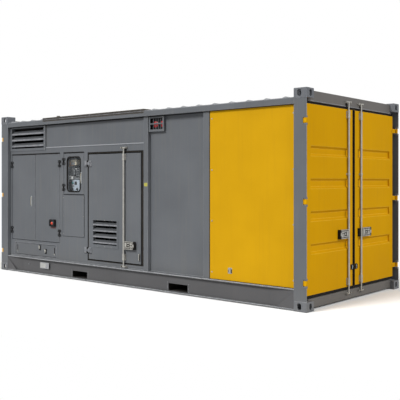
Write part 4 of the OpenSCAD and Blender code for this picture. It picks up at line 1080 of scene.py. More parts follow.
@dataclass
class Fasteners:
    """All visible screws and bolts, gathered by body, kind and finish."""

    points: dict[tuple[str, Head, Finish], list[tuple[Vector, Vector]]] = field(default_factory=dict)

    def add(self, body: str, face: Face, head: Head, spots: Sequence[Point], finish: Finish = Finish.ZINC) -> None:
        """Notes where heads go.

        Args:
            body: CAD body that they move with.
            face: Face that they are laid out on.
            head: Their kind.
            spots: Their places, at the surface that they stand on.
            finish: Their finish.
        """
        self.points.setdefault((body, head, finish), []).extend(
            (face.matrix @ Vector(spot), face.outward) for spot in spots)

    def build(self) -> int:
        """Builds one mesh of heads for each body, kind and finish.

        Returns:
            The number of heads.
        """
        for (body, head, finish), row in self.points.items():
            name = f"{body}_{head.name.lower()}_{finish.name.lower()}_heads"
            mesh = bpy.data.meshes.new(name)
            mesh.from_pydata([p for p, _ in row], [], [])
            facing = mesh.attributes.new("facing", "FLOAT_VECTOR", "POINT")
            facing.data.foreach_set("vector", [c for _, out in row for c in out])
            corners, radius, rise, washer = head.value
            HEADS.apply(show(mesh, name), finish, body, Corners=corners, Radius=radius * MM,
                        Rise=rise * MM, Washer=washer * MM)
        return sum(map(len, self.points.values()))


SCREWS = Fasteners()


def lines_on(face: Face, lines: Sequence[Sequence[Point]], name: str, closed: bool = False) -> bpy.types.Object:
    """Makes a carrier mesh of open or closed lines.

    Args:
        face: Face that they are laid out on.
        lines: The points of each line.
        name: The carrier's name.
        closed: Whether each line ends where it starts.

    Returns:
        The carrier object.
    """
    verts, edges = [], []
    for line in lines:
        start = len(verts)
        verts += [face.matrix @ Vector(p) for p in line]
        edges += [(start + i, start + i + 1) for i in range(len(line) - 1)]
        if closed:
            edges.append((len(verts) - 1, start))
    mesh = bpy.data.meshes.new(name)
    mesh.from_pydata(verts, edges, [])
    return show(mesh, name)


# ---- sub-assemblies


@dataclass
class Studio:
    """Camera, soft light and plain pale floor."""

    camera_at: Point = (7.294, -8.095, 1.521)
    camera_yaw: float = 40.48
    lens: float = 62.96
    lens_shift: Span = (0.0, -0.0495)
    ambient: float = 0.3
    suns: tuple[tuple[str, Point, float, float], ...] = (
        ("key_light", (-0.25, -1.0, 0.85), 2.75, 18.0), ("end_light", (1.0, -0.1, 0.75), 1.8, 22.0))
    floor_size: float = 60.0
    fade: Span = (1.6, 4.2)
    white: tuple[float, ...] = (1.0, 1.0, 1.0, 1.0)

    def build(self) -> None:
        """Sets up the camera, the world, the lamps and the floor."""
        scene = bpy.context.scene
        scene.view_settings.view_transform = "Standard"
        data = bpy.data.cameras.new("view_camera")
        data.sensor_width = 36.0
        data.lens = self.lens
        data.shift_x, data.shift_y = self.lens_shift
        camera = bpy.data.objects.new("view_camera", data)
        camera.location = self.camera_at
        camera.rotation_euler = (math.radians(90), 0, math.radians(self.camera_yaw))
        scene.collection.objects.link(camera)
        scene.camera = camera
        self._world(scene)
        for name, source, strength, spread in self.suns:
            lamp = bpy.data.lights.new(name, "SUN")
            lamp.energy = strength
            lamp.angle = math.radians(spread)
            sun = bpy.data.objects.new(name, lamp)
            sun.rotation_euler = Vector(source).to_track_quat("Z", "Y").to_euler()
            scene.collection.objects.link(sun)
        self._floor()

    def _world(self, scene: bpy.types.Scene) -> None:
        """Makes a world that is white to the eye and in reflections, and softer as light.

        Args:
            scene: The scene.
        """
        world = bpy.data.worlds.new("white_studio")
        world.use_nodes = True
        nodes = Nodes(world.node_tree)
        nodes.tree.nodes.clear()
        soft, white = (nodes.out("ShaderNodeBackground", {
            "Color": self.white, "Strength": strength}) for strength in (self.ambient, 1.0))
        both = nodes.out("ShaderNodeMixShader", {0: nodes.seen_directly(), 1: soft, 2: white})
        nodes.add("ShaderNodeOutputWorld", {"Surface": both})
        scene.world = world

    def _floor(self) -> None:
        """Lays a pale floor that keeps the shadow close by and fades to white far off."""
        edges = (-self.floor_size / 2, self.floor_size / 2)
        mesh = bpy.data.meshes.new("studio_floor")
        mesh.from_pydata([(x, y, 0) for x, y in box_outline(edges, edges)], [], [(0, 1, 2, 3)])
        floor = Surface("matt_studio_floor")
        grain = floor.out("ShaderNodeTexNoise", {"Vector": floor.place, "Scale": 3.0})
        seen = floor.seen_directly()
        tone = floor.blend(seen, "#b4b4b4", floor.blend(grain, "#fdfdfc", "#fafaf9"))
        floor.dress(Base_Color=tone, Roughness=1.0, Specular_IOR_Level=0.0)
        squeezed = floor.out("ShaderNodeMapping", {"Vector": floor.place, "Scale": (0.55, 1.0, 1.0)})
        away = floor.add("ShaderNodeVectorMath", {0: squeezed}, operation="LENGTH").outputs["Value"]
        far = floor.out("ShaderNodeMapRange", {
            "Value": away, "From Min": self.fade[0], "From Max": self.fade[1]},
            interpolation_type="SMOOTHSTEP")
        share = floor.out("ShaderNodeMath", {0: far, 1: seen}, operation="MULTIPLY")
        white = floor.out("ShaderNodeEmission", {"Color": self.white, "Strength": 1.0})
        both = floor.out("ShaderNodeMixShader", {0: share, 1: floor.skin.outputs[0], 2: white})
        floor.feed(floor.end, {"Surface": both})
        mesh.materials.append(floor.material)
        show(mesh, "studio_floor")


@dataclass
class Steelwork:
    """Corner-cast frame: castings, posts, rails, sills, cross members and welds."""

    casting_h: float = 118.0
    casting_l: float = 178.0
    pocket_xs: Span = (2000.0, 4022.0)
    pocket_w: float = 345.0
    pocket_z: Span = (33.0, 131.0)
    web_in: float = 55.0
    plate_along: Span = (1036.0, 1262.0)
    plate_up: Span = (103.0, 203.0)
    eyelet_at: Span = (716.0, 150.0)
    wall_posts_at: Span = (3385.0, 4473.0)
    lip_in: Span = (57.0, 61.0)
    lip_up: Span = (2447.0, 2457.0)
    pocket_strip: float = 0.075
    mouth_bar: float = 16.0
    mouth_foot: float = 6.0
    weld_in: float = 4.0
    pocket_weld_up: Span = (32.0, 146.0)
    wall_weld_along: Span = (4.0, 78.0)
    wall_weld_at: Span = (44.0, 257.0)
    eyelet: Profile = ((15, 0), (15, 5), (13, 7), (8, 7), (7, 4), (7, 1), (0, 1))
    plug: Profile = ((6.5, 0), (6.5, 2), (0, 2))

    def build(self) -> None:
        """Builds the frame's pieces."""
        for node, finish, bevel in (
                ("corner_castings", Finish.CAST_GREY, 5.0), ("corner_posts", Finish.GREY, 3.0),
                ("bottom_rail_webs", Finish.RAIL_WEB, 1.0), ("rail_gussets", Finish.RAIL_WEB, 1.5),
                ("top_side_rails", Finish.GREY, 5.0), ("door_sills", Finish.RAIL_END, 4.0),
                ("door_headers", Finish.RAIL_END, 4.0), ("cross_members", Finish.UNDERBODY, 1.5),
                ("fork_pocket_plates", Finish.UNDERBODY, 1.5), ("floor_plate", Finish.PRIMER, 1.0),
                ("wall_posts", Finish.GREY, 4.0), ("end_hinge_lugs", Finish.GREY, 1.5)):
            CarriedShape(node, finish, bevel).build()
        CarriedShape("bottom_rail_flanges", Finish.GREY, 4.0, edge=Finish.RAIL_EDGE).build()
        strip = WIDTH * MM / 2 - self.pocket_strip
        CarriedShape("fork_pocket_webs", Finish.RAIL_WEB, 1.0, keep=lambda c: abs(c.y) > strip).build()
        CarriedShape("fork_pocket_webs", Finish.UNDERBODY, 1.0, keep=lambda c: abs(c.y) <= strip,
                     name="fork_pocket_sides").build()
        for face in SIDES:
            self._pocket_mouths(face)
            self._welds(face)
        for face in ENDS:
            maker = Maker(face)
            # a light lip on each door header, in the lighter edge grey: painted highlight
            maker.block((self.casting_l, WIDTH / 2), self.lip_in, self.lip_up, 2.0)
            maker.piece(f"header_lip_{face.tag}", "frame", [Finish.GREY_EDGE])
        self._rail_plate()

    def _pocket_mouths(self, face: Face) -> None:
        """Frames each fork pocket's mouth with flat bar.

        Args:
            face: Side that the mouths are on.
        """
        maker = Maker(face)
        half = self.pocket_w / 2
        for x in self.pocket_xs:
            maker.ring(box_outline(grown((x, x), half + self.mouth_bar),
                                   (self.pocket_z[0] - self.mouth_foot, self.pocket_z[1] + self.mouth_bar)),
                       box_outline(grown((x, x), half - 1), grown(self.pocket_z, -1)),
                       (self.web_in - 4, self.web_in + 1), 1.0)
        maker.piece(f"fork_pocket_mouths_{face.tag}", "frame", [Finish.RAIL_WEB])

    def _welds(self, face: Face) -> None:
        """Runs weld ripples where posts meet castings and round the fork pockets.

        Args:
            face: Side that they are on.
        """
        lines: list[list[Point]] = []
        for z in (self.casting_h, HEIGHT - self.casting_h):
            for span in ((0, self.casting_l), (LENGTH - self.casting_l, LENGTH)):
                lines.append([(a, self.weld_in, z) for a in grown(span, -6)])
        for x in self.pocket_xs:
            for a in grown((x, x), self.pocket_w / 2 + 18):
                lines.append(grid([a], self.web_in - 1, self.pocket_weld_up))
        for a in self.wall_posts_at:
            lines.append([(a + u, *self.wall_weld_at) for u in self.wall_weld_along])
        carrier = lines_on(face, lines, f"frame_welds_{face.tag}")
        WELDS.apply(carrier, Finish.GREY_EDGE, "frame", Seed=11)

    def _rail_plate(self) -> None:
        """Adds the bare data plate on the bottom rail, and the earthing eyelet beside it."""
        maker = Maker()
        (a0, a1), (z0, z1) = self.plate_along, self.plate_up
        for a in (a0 + 24, a1 - 36):
            maker.block((a, a + 12), (36, self.web_in), (z0 + 8, z1 - 8), 1.0, 1)
        maker.prism(round_outline((a0, a1), (z0, z1), 9.0, 4), (32, 37), 1.2, 0)
        maker.prism(round_outline((a0 + 12, a1 - 78), (z0 + 14, z1 - 14), 5.0, 3), (30.5, 33), 0.8, 2)
        maker.piece("rail_plate", "frame", [Finish.PLATE, Finish.GREY, Finish.LABEL])
        SCREWS.add("frame", Face.FRONT, Head.SMALL, grid(grown((a0, a1), -9), 32, grown((z0, z1), -10)))
        maker = Maker()
        a, z = self.eyelet_at
        maker.lathe((a, self.web_in, z), OUT, self.eyelet, 0)
        maker.lathe((a, self.web_in - 0.5, z), OUT, self.plug, 1)
        maker.piece("earth_eyelet", "frame", [Finish.GREY_EDGE, Finish.RUBBER])


@dataclass
class LouvreBank:
    """Rain slats across an opening: the intake louvre, and the vent in the service door."""

    name: str
    face: Face
    body: str
    along: Span
    up: Span
    slat_depth: Span
    pitch: float
    foot: float
    lip: float = 18.0
    sheet: float = 5.0
    see: float = 22.0

    def slats(self, replaces: Sequence[str] = ()) -> None:
        """Builds one slat in a darker grey, painted shade, and its lip in the lighter edge grey, a painted highlight,
        and repeats them up the opening.

        Args:
            replaces: CAD nodes that the slats stand for.
        """
        (d0, d1), (a0, a1) = self.slat_depth, self.along
        low = self.up[0] + self.foot
        rise = self.pitch - self.see
        slat = [(d1, low + rise), (d1, low + rise - self.sheet), (d0 + self.sheet, low + self.lip - self.sheet),
                (d0 + self.sheet, low), (d0, low), (d0, low + self.lip)]
        lip = [(d0 - 1.5, low + self.lip - 2), (d0 + 1, low + self.lip - 2), (d0 + 1, low - 1), (d0 - 1.5, low - 1)]
        count = 1 + int((self.up[1] - rise - 3 - low) // self.pitch)
        for part, section, finish in (("slats", slat, Finish.SOOTED), ("lips", lip, Finish.GREY_EDGE)):
            carrier = soften(self._section(f"{self.name}_{part}", section, (a0 - 1, a1 + 1)), 0.7, 2)
            ROWS.apply(carrier, finish, self.body, Count=count, Offset=(0.0, 0.0, self.pitch * MM))
            if replaces:
                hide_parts(*replaces)

    def _section(self, name: str, section: Sequence[Span], along: Span) -> bpy.types.Object:
        """Makes a bar with one section from end to end.

        Args:
            name: Its name.
            section: Corners as (depth, up).
            along: Its two ends.

        Returns:
            The bar.
        """
        shape = bmesh.new()
        loops = [[shape.verts.new(self.face.matrix @ Vector((a, d, z))) for d, z in section] for a in along]
        for i in range(len(section)):
            j = (i + 1) % len(section)
            shape.faces.new((loops[0][i], loops[0][j], loops[1][j], loops[1][i]))
        for loop in loops:
            shape.faces.new(loop)
        bmesh.ops.recalc_face_normals(shape, faces=shape.faces)
        return show(mesh_of(shape, name), name)


@dataclass
class SideWalls:
    """Folded wall sheets, fixed and bolted panels, intake louvres, and a bare tag and a catch."""

    louvre_along: Span = (178.0, 1148.0)
    louvre_up: Span = (2001.0, 2410.0)
    louvre_in: float = 52.0
    yellow_in: float = 45.0
    access_screws_along: Span = (1600.0, 2080.0)
    tag_along: Span = (3396.0, 3461.0)
    tag_up: Span = (1436.0, 1484.0)
    catch_along: Span = (4879.0, 4944.0)
    catch_up: Span = (348.0, 422.0)
    catch: tuple[Row, ...] = (
        ((4899.0, 4918.0), (35.0, 43.0), (352.0, 418.0), 2.5, 0),
        ((4884.0, 4891.0), (40.0, 43.0), (362.0, 398.0), 1.0, 1),
        ((4930.0, 4943.0), (40.0, 43.0), (354.0, 404.0), 1.0, 1))
    sealed: tuple[tuple[Span, Span, float], ...] = (
        ((4580.0, 5878.0), (258.0, 2408.0), 43.0), ((1586.0, 2094.0), (652.0, 1293.0), 59.0))
    # the first three rows are light lips in the lighter greys, a painted highlight on the ledge and the bottom edges;
    # the last three are black strips under the top rail, a painted shadow of its overhang
    lips: tuple[Row, ...] = (
        ((1150.0, 3383.0), (57.0, 71.0), (2036.0, 2051.0), 2.0, 1),
        ((184.0, 3383.0), (57.0, 61.0), (258.0, 268.0), 1.5, 0),
        ((3469.0, 4471.0), (88.0, 93.0), (258.0, 266.0), 1.5, 0),
        ((184.0, 1142.0), (54.0, 62.0), (2400.0, 2410.0), 1.0, 2),
        ((1149.0, 3384.0), (63.0, 71.0), (2395.0, 2410.0), 1.0, 2),
        ((3468.0, 4472.0), (85.0, 93.0), (2400.0, 2410.0), 1.0, 2))
    yellow_screws_along: Span = (4618.0, 5852.0)
    yellow_screws_up: tuple[float, ...] = (2308.0, 1651.0, 1001.0, 348.0)
    louvre_screws_along: Span = (203.0, 1123.0)
    louvre_screws_up: tuple[float, ...] = (2026.0, 2112.0, 2205.0, 2298.0, 2386.0)
    access_in: float = 56.0
    access_screws_up: tuple[float, ...] = (1251.0, 968.0, 688.0)
    # drip seals in black rubber over the door tops, which also stand for the shade in the gap above the doors: partly
    # painted shade
    drips: tuple[Row, ...] = (
        ((230.0, 1503.0), (54.0, 61.0), (1941.0, 1956.0), 1.5, 0),
        ((1602.0, 2087.0), (54.0, 61.0), (1941.0, 1956.0), 1.5, 0))

    def build(self) -> None:
        """Builds the walls."""
        for node, finish, bevel in (
                ("wall_jambs", Finish.GREY, 0.0), ("wall_infills", Finish.GREY, 0.0),
                ("upper_panels", Finish.GREY, 0.0), ("grey_panels", Finish.GREY, 2.0),
                ("yellow_panels", Finish.YELLOW, 4.0), ("access_panels", Finish.GREY, 1.5)):
            CarriedShape(node, finish, bevel, lining_axis=1).build()
        for face in SIDES:
            self._louvre(face)
            self._trim(face)
            SCREWS.add("frame", face, Head.PAN, grid(self.yellow_screws_along, self.yellow_in, self.yellow_screws_up))
            SCREWS.add("frame", face, Head.SMALL, grid(self.louvre_screws_along, self.louvre_in, self.louvre_screws_up))
            outlines = [(box_outline(along, up), depth) for along, up, depth in self.sealed]
            runs = [[(a, d, z), (b, d, y)] for line, d in outlines
                    for (a, z), (b, y) in zip(line, line[1:] + line[:1])]
            carrier = lines_on(face, runs, f"wall_sealant_{face.tag}")
            BEADS.apply(carrier, Finish.RUBBER, "frame", Radius=0.004, Step=0.15, Facets=6)
        SCREWS.add("frame", Face.FRONT, Head.SMALL,
                   grid(self.access_screws_along, self.access_in, self.access_screws_up))
        maker = Maker()
        maker.blocks(self.drips)
        maker.piece("door_drip_seals", "frame", [Finish.RUBBER])
        self._tag()
        self._catch()

    def _louvre(self, face: Face) -> None:
        """Builds the intake louvre of one side.

        Args:
            face: The side.
        """
        (a0, a1), (z0, z1) = self.louvre_along, self.louvre_up
        maker = Maker(face)
        opening = (a0 + 49, a1 - 49), (z0 + 46, z1 - 30)
        maker.ring(box_outline((a0, a1), (z0, z1 - 10)), box_outline(*opening), (self.louvre_in, 120), 3.0)
        maker.piece(f"louvre_frame_{face.tag}", "frame", [Finish.GREY], ["intake_louvres"])
        LouvreBank(f"louvre_{face.tag}", face, "frame", *opening, (self.louvre_in + 6, 110),
                   pitch=100.0, foot=27.0, lip=28.0, see=32.0).slats(["intake_louvres"])

    def _trim(self, face: Face) -> None:
        """Adds the folded lips that edge the wall's sheets in lighter greys, a painted highlight, and the black strips
        under the top rail, a painted shadow.

        Args:
            face: The side.
        """
        maker = Maker(face)
        maker.blocks(self.lips)
        maker.piece(f"wall_lips_{face.tag}", "frame", [Finish.GREY_EDGE, Finish.GREY_FOLD, Finish.RUBBER])

    def _tag(self) -> None:
        """Adds the bare tag on the first wall post."""
        maker = Maker()
        maker.prism(round_outline(self.tag_along, self.tag_up, 6.0, 4), (37.5, 41), 0.8, 0)
        maker.prism(round_outline(grown(self.tag_along, -8), grown(self.tag_up, -10), 3.0, 3), (36.5, 38), 0.4, 0)
        maker.piece("wall_post_tag", "frame", [Finish.TAG_GREEN])

    def _catch(self) -> None:
        """Adds the plated catch low on the panel."""
        maker = Maker()
        maker.prism(round_outline(self.catch_along, self.catch_up, 8.0, 4), (42, 46), 1.0, 0)
        maker.blocks(self.catch)
        maker.piece("panel_catch", "frame", [Finish.ZINC, Finish.RUBBER])


@dataclass
class CableCover:
    """Bolted cover over the cable entry, with its lips, bolts and two latches."""

    recess_along: Span = (329.0, 1423.0)
    recess_up: Span = (289.0, 486.0)
    face_in: float = 62.0
    slot_along: Span = (383.0, 1369.0)
    bolt_z: float = 344.0
    # black plates behind the two slots: painted shade inside the slots
    slots: tuple[Row, ...] = (
        ((367, 399), (80, 85), (322, 454), 1.0, 1), ((1353, 1385), (80, 85), (322, 454), 1.0, 1))
    lip_w: float = 9.0
    lip_in: Span = (57.0, 61.0)
    latch_plate: tuple[Span, Span] = ((-18.0, 34.0), (-38.0, 40.0))
    latch_arm: tuple[Span, ...] = ((-14, 36), (16, 30), (20, -4), (2, -28), (-6, -4))
    latches: tuple[Span, ...] = ((985.0, 428.0), (1138.0, 376.0))
    stud: Profile = ((9, 0), (9, 15), (7, 18), (0, 18))

    def build(self) -> None:
        """Builds the cover and its fittings."""
        CarriedShape("cable_cover", Finish.GREY, 2.5).build()
        along, up = self.recess_along, self.recess_up
        maker = Maker()
        # lip ring round the recess in the lighter edge grey: painted highlight
        maker.ring(box_outline(grown(along, self.lip_w), grown(up, self.lip_w)), box_outline(along, up),
                   self.lip_in, 1.5)
        maker.blocks(self.slots)
        maker.piece("cable_cover_lips", "frame", [Finish.GREY_EDGE, Finish.RUBBER])
        SCREWS.add("frame", Face.FRONT, Head.HEX, grid(self.slot_along, self.face_in, [self.bolt_z]))
        for number, (a, z) in enumerate(self.latches, 1):
            self._latch(number, a, z)

    def _latch(self, number: int, a: float, z: float) -> None:
        """Adds a triangular draw latch.

        Args:
            number: Its number.
            a: Its place along the side.
            z: Its middle height.
        """
        maker = Maker()
        (u0, u1), (w0, w1) = self.latch_plate
        # black base plate, made large so that it stands partly for the latch's shadow: painted shadow
        maker.prism(round_outline((a + u0, a + u1), (z + w0, z + w1), 6.0, 4), (57.5, 63), 1.0, 1)
        maker.prism([(a + u, z + w) for u, w in self.latch_arm], (46, WALL_IN), 2.0, 0)
        maker.lathe((a + 6, 60, z + 16), OUT, self.stud, 0, 16)
        maker.piece(f"cable_cover_latch_{number}", "frame", [Finish.ZINC, Finish.SWITCH_BLACK])


@dataclass(frozen=True)
class SwingHandle:
    """A swing handle: a dished base, a slim lever and a lock barrel."""

    name: str
    body: str
    node: str
    along: Span
    up: Span
    front: float = 36.0
    lever: tuple[float, ...] = (4.0, 5.0, 4.2, 4.2, 5.5, 7.0)
    barrel: Profile = ((8, 0), (8, 9), (6, 11), (0, 11))

    def build(self) -> None:
        """Builds the handle."""
        (z0, z1), front = self.up, self.front
        mid = sum(self.along) / 2
        maker = Maker()
        maker.prism(round_outline(grown(self.along, -1), self.up, 8.0, 5), (53, WALL_IN), 1.5, 1)
        maker.tube([(mid, 52.0, z0 + 12), (mid, front + 6, z0 + 30), (mid, front + 3, z0 + 70),
                    (mid, front + 4, z1 - 60), (mid, front + 8, z1 - 34), (mid, 54.0, z1 - 16)],
                   self.lever)
        maker.lathe((mid, 56, z0 + 22), OUT, self.barrel, 2, 16)
        maker.piece(self.name, self.body, [Finish.BRASSY, Finish.SWITCH_GREY, Finish.ZINC], [self.node])


@dataclass(frozen=True)
class BlackHinges:
    """Cast hinges with lobed wings: one half on the wall, the other on a door."""

    name: str
    body: str
    axis_at: float
    towards: int
    levels: tuple[float, ...]
    axis_in: float = 50.0
    radius: float = 9.0
    half_height: float = 56.0
    half_knuckle: float = 19.0
    knuckle_reach: float = 15.0
    wing_in: float = 49.0
    wing_reach: float = 37.0
    lobe: Span = (17.0, 52.0)
    screw_at: Span = (25.0, 36.0)

    def build(self, fixed_node: str, moving_node: str) -> None:
        """Builds both halves.

        Args:
            fixed_node: CAD node of the wall's halves.
            moving_node: CAD node of the door's halves.
        """
        low, high = self.lobe
        for half, side, body, node in (("mounts", -self.towards, "frame", fixed_node),
                                       ("wings", self.towards, self.body, moving_node)):
            maker = Maker()
            for z in self.levels:
                for way in (-1, 1):
                    span = ordered(self.axis_at + side * (self.radius + 3), self.axis_at + side * self.wing_reach)
                    maker.prism(round_outline(span, ordered(z + way * low, z + way * high), 9.0, 4),
                                (self.wing_in, WALL_IN), 2.5)
                    SCREWS.add(body, Face.FRONT, Head.SMALL, [
                        (self.axis_at + side * self.screw_at[0], self.wing_in, z + way * self.screw_at[1])],
                        Finish.SWITCH_MID)
                for foot, tall in self._knuckles(z, side == self.towards):
                    maker.block((self.axis_at, self.axis_at + side * self.knuckle_reach), (54, WALL_IN),
                                (foot, foot + tall), 1.0)
                    maker.lathe((self.axis_at, self.axis_in, foot), UPWARDS, self._barrel(tall), steps=16)
            maker.piece(f"{self.name}_{half}", body, [Finish.BLACK], [node])

    def _knuckles(self, z: float, moving: bool) -> list[Span]:
        """Lists the knuckles of one half: the door's in the middle, the wall's above and below.

        Args:
            z: The hinge's middle height.
            moving: Whether the half is the door's.

        Returns:
            The foot and the height of each knuckle.
        """
        if moving:
            return [(z - self.half_knuckle, 2 * self.half_knuckle)]
        tall = self.half_height - self.half_knuckle - 1
        return [(z - self.half_height, tall), (z + self.half_knuckle + 1, tall)]

    def _barrel(self, height: float) -> list[Span]:
        """Returns the profile of a knuckle with eased ends.

        Args:
            height: Its height.

        Returns:
            Its (radius, height) points.
        """
        return [(self.radius - 1.5, 0), (self.radius, 1.5), (self.radius, height - 1.5), (self.radius - 1.5, height)]


@dataclass
class CableDoors:
    """The pair of doors over the cable panel, with black hinges, handle and stop switch."""

    hinges_at: Span = (233.0, 1500.0)
    hinge_up: Span = (690.0, 1780.0)
    handle_along: Span = (764.0, 788.0)
    handle_up: Span = (1093.0, 1263.0)
    stop_along: Span = (1272.0, 1408.0)
    stop_up: Span = (786.0, 899.0)
    button_at: Span = (1350.0, 839.0)
    collar: Profile = ((26, 0), (26, 3), (24, 4), (16, 4), (13, 8), (0, 8))
    mushroom: Profile = ((10, -2), (11, 0), (20, 1), (23, 4), (22, 8), (16, 11), (8, 12.5), (0, 13))

    def build(self) -> None:
        """Builds the doors and what is on them."""
        for side in ("left", "right"):
            CarriedShape(f"cable_door_{side}", Finish.GREY, 3.5).build()
        for side, axis_at, towards in zip(("left", "right"), self.hinges_at, (1, -1)):
            BlackHinges(f"cable_{side}_hinge", f"cable_door_{side}", axis_at, towards, self.hinge_up).build(
                "black_hinge_mounts", f"cable_{side}_fittings")
        SwingHandle("cable_door_handle", "cable_door_left", "cable_left_fittings", self.handle_along,
                    self.handle_up).build()
        self._stop_switch()

    def _stop_switch(self) -> None:
        """Builds the emergency stop: a shrouded box, a mushroom button and a bare strip."""
        (a0, a1), (z0, z1) = self.stop_along, self.stop_up
        a, z = self.button_at
        maker = Maker()
        maker.block(self.stop_along, (34, WALL_IN), self.stop_up, 5.0, 0)
        maker.ring(round_outline(grown(self.stop_along, -4), grown(self.stop_up, -4), 10.0, 5),
                   round_outline((a0 + 22, a1 - 22), (z0 + 14, z1 - 14), 12.0, 5), (24, 36), 2.0, 0)
        maker.lathe((a, 34, z), OUT, self.collar, 2)
        maker.lathe((a, 28, z), OUT, self.mushroom, 1, 32)
        maker.piece("emergency_stop", "cable_door_right", [Finish.SWITCH_BLACK, Finish.STOP_RED, Finish.SWITCH_MID],
                    ["cable_right_fittings"])
        maker = Maker()
        maker.prism(round_outline((a0 + 4, a1 - 4), (z0 - 30, z0 - 6), 3.0, 3), (58.5, 61), 0.5, 0)
        maker.piece("stop_strip", "cable_door_right", [Finish.STRIP_RED])


@dataclass
class WindowDoor:
    """The door with a window over the controls, and the control gear behind it."""

    window_along: Span = (1687.0, 2006.0)
    window_up: Span = (1345.0, 1881.0)
    corner: float = 62.0
    hinge_at: float = 1604.0
    hinge_up: Span = (1410.0, 1814.0)
    handle_along: Span = (2016.0, 2040.0)
    handle_up: Span = (1472.0, 1642.0)
    panel_in: float = 150.0
    knobs_along: Span = (1712.0, 1822.0)
    knob_z: float = 1384.0
    dial_at: Span = (1718.0, 1476.0)
    knob: Profile = ((17, 0), (17, 6), (12, 8), (12, 18), (0, 19))
    dial: Profile = ((14, 0), (14, 5), (10, 11), (0, 13))
    wires: tuple[tuple[str, Finish, Span, Span, int], ...] = (
        ("control_wires_tan", Finish.WIRE_TAN, (1790, 1870), (1720, 1790), 12),
        ("control_wires_orange", Finish.WIRE_ORANGE, (1800, 1850), (1740, 1780), 5),
        ("control_wires_black", Finish.WIRE_DARK, (1420, 1520), (1330, 1400), 9))
    gear: tuple[Row, ...] = (
        ((1602, 2086), (262, 268), (1306, 1934), 2.0, 1), ((1612, 1652), (176, 264), (1560, 1912), 3.0, 1),
        ((1672, 1812), (140, 264), (1756, 1842), 4.0, 6), ((1690, 1780), (134, 142), (1764, 1800), 2.0, 2),
        *bank((1686, 1704), (156, 162), (1816, 1834), 2.0, 4, (30, 0), (0, 3)),
        ((1650, 1866), (150, 264), (1714, 1738), 3.0, 1),
        *bank((1654, 1678), (164, 264), (1688, 1706), 2.0, 7, (28, 0), (2, 3, 2)),
        *bank((1592, 1748), (160, 264), (1604, 1613), 1.5, 6, (0, 13.5), (2, 0)),
        ((1772, 1852), (166, 264), (1560, 1708), 3.0, 2),
        *bank((1780, 1844), (162, 168), (1572, 1586), 1.0, 5, (0, 27), (1,)),
        ((1656, 1730), (128, 264), (1534, 1588), 2.5, 3), ((1744, 1864), (168, 264), (1534, 1552), 2.0, 2),
        ((1604, 1680), (166, 264), (1330, 1520), 4.0, 1), ((1690, 1872), (150, 264), (1352, 1526), 5.0, 4),
        ((1760, 1812), (145, 152), (1448, 1500), 3.0, 1), ((1704, 1748), (146, 152), (1416, 1440), 2.0, 2))

    def build(self) -> None:
        """Builds the door, its window and the gear."""
        CarriedShape("window_door", Finish.GREY, 3.0).build()
        CarriedShape("window_glass", Finish.GLASS, 0.5).build()
        BlackHinges("window_hinge", "window_door", self.hinge_at, 1, self.hinge_up).build(
            "black_hinge_mounts", "window_fittings")
        SwingHandle("window_door_handle", "window_door", "window_fittings", self.handle_along,
                    self.handle_up).build()
        self._gasket()
        CarriedShape("control_cabinet", Finish.CABINET, 2.0).build()
        self._gear()
        self._looms()

    def _gasket(self) -> None:
        """Runs the black glazing rubber round the window."""
        for name, grow, depth, radius in (("window_gasket", 0.0, 60.0, 9.0), ("window_gasket_lip", -9.0, 64.0, 5.0)):
            outline = round_outline(grown(self.window_along, grow), grown(self.window_up, grow), self.corner + grow, 10)
            carrier = lines_on(Face.FRONT, [[(a, depth, z) for a, z in outline]], name, closed=True)
            BEADS.apply(carrier, Finish.RUBBER, "window_door", Radius=radius * MM, Step=0.012, Facets=10)

    def _gear(self) -> None:
        """Builds the mounting plate, contactor, relays, meters, covers and control panel."""
        maker = Maker()
        maker.blocks(self.gear)
        for a in self.knobs_along:
            maker.lathe((a, self.panel_in, self.knob_z), OUT, self.knob, 1, 20)
        maker.lathe((self.dial_at[0], self.panel_in, self.dial_at[1]), OUT, self.dial, 5, 16)
        maker.piece("control_switchgear", "frame", [
            Finish.SWITCH_GREY, Finish.SWITCH_BLACK, Finish.SWITCH_MID, Finish.SWITCH_WHITE,
            Finish.SWITCH_PALE, Finish.TEAL, Finish.SWITCH_CREAM], ["control_gear"])

    def _looms(self) -> None:
        """Runs seeded wires down from the contactor and across to the duct."""
        chance = random.Random(42)
        for name, finish, heads, feet, count in self.wires:
            lines = []
            for _ in range(count):
                a, b = chance.uniform(1586, 1640), chance.uniform(1640, 1690)
                z, y, d = chance.uniform(*heads), chance.uniform(*feet), chance.uniform(146, 164)
                lines.append([(a, 176, z), (a + 4, d, z - 10), ((a + b) / 2, d - 4, (z + y) / 2 - 12),
                              (b - 6, d, y - 6), (b, 176, y)])
            carrier = lines_on(Face.FRONT, lines, name)
            BEADS.apply(carrier, finish, "frame", Radius=0.0035, Step=0.01, Wander=0.012, Facets=6, Seed=4.0)


@dataclass(frozen=True)
class BarFitting:
    """A fitting beside a locking bar, on a service or end door, and the CAD node that it stands for."""

    name: str
    face: Face
    body: str
    node: str
    bar_at: float
    leaf_in: float


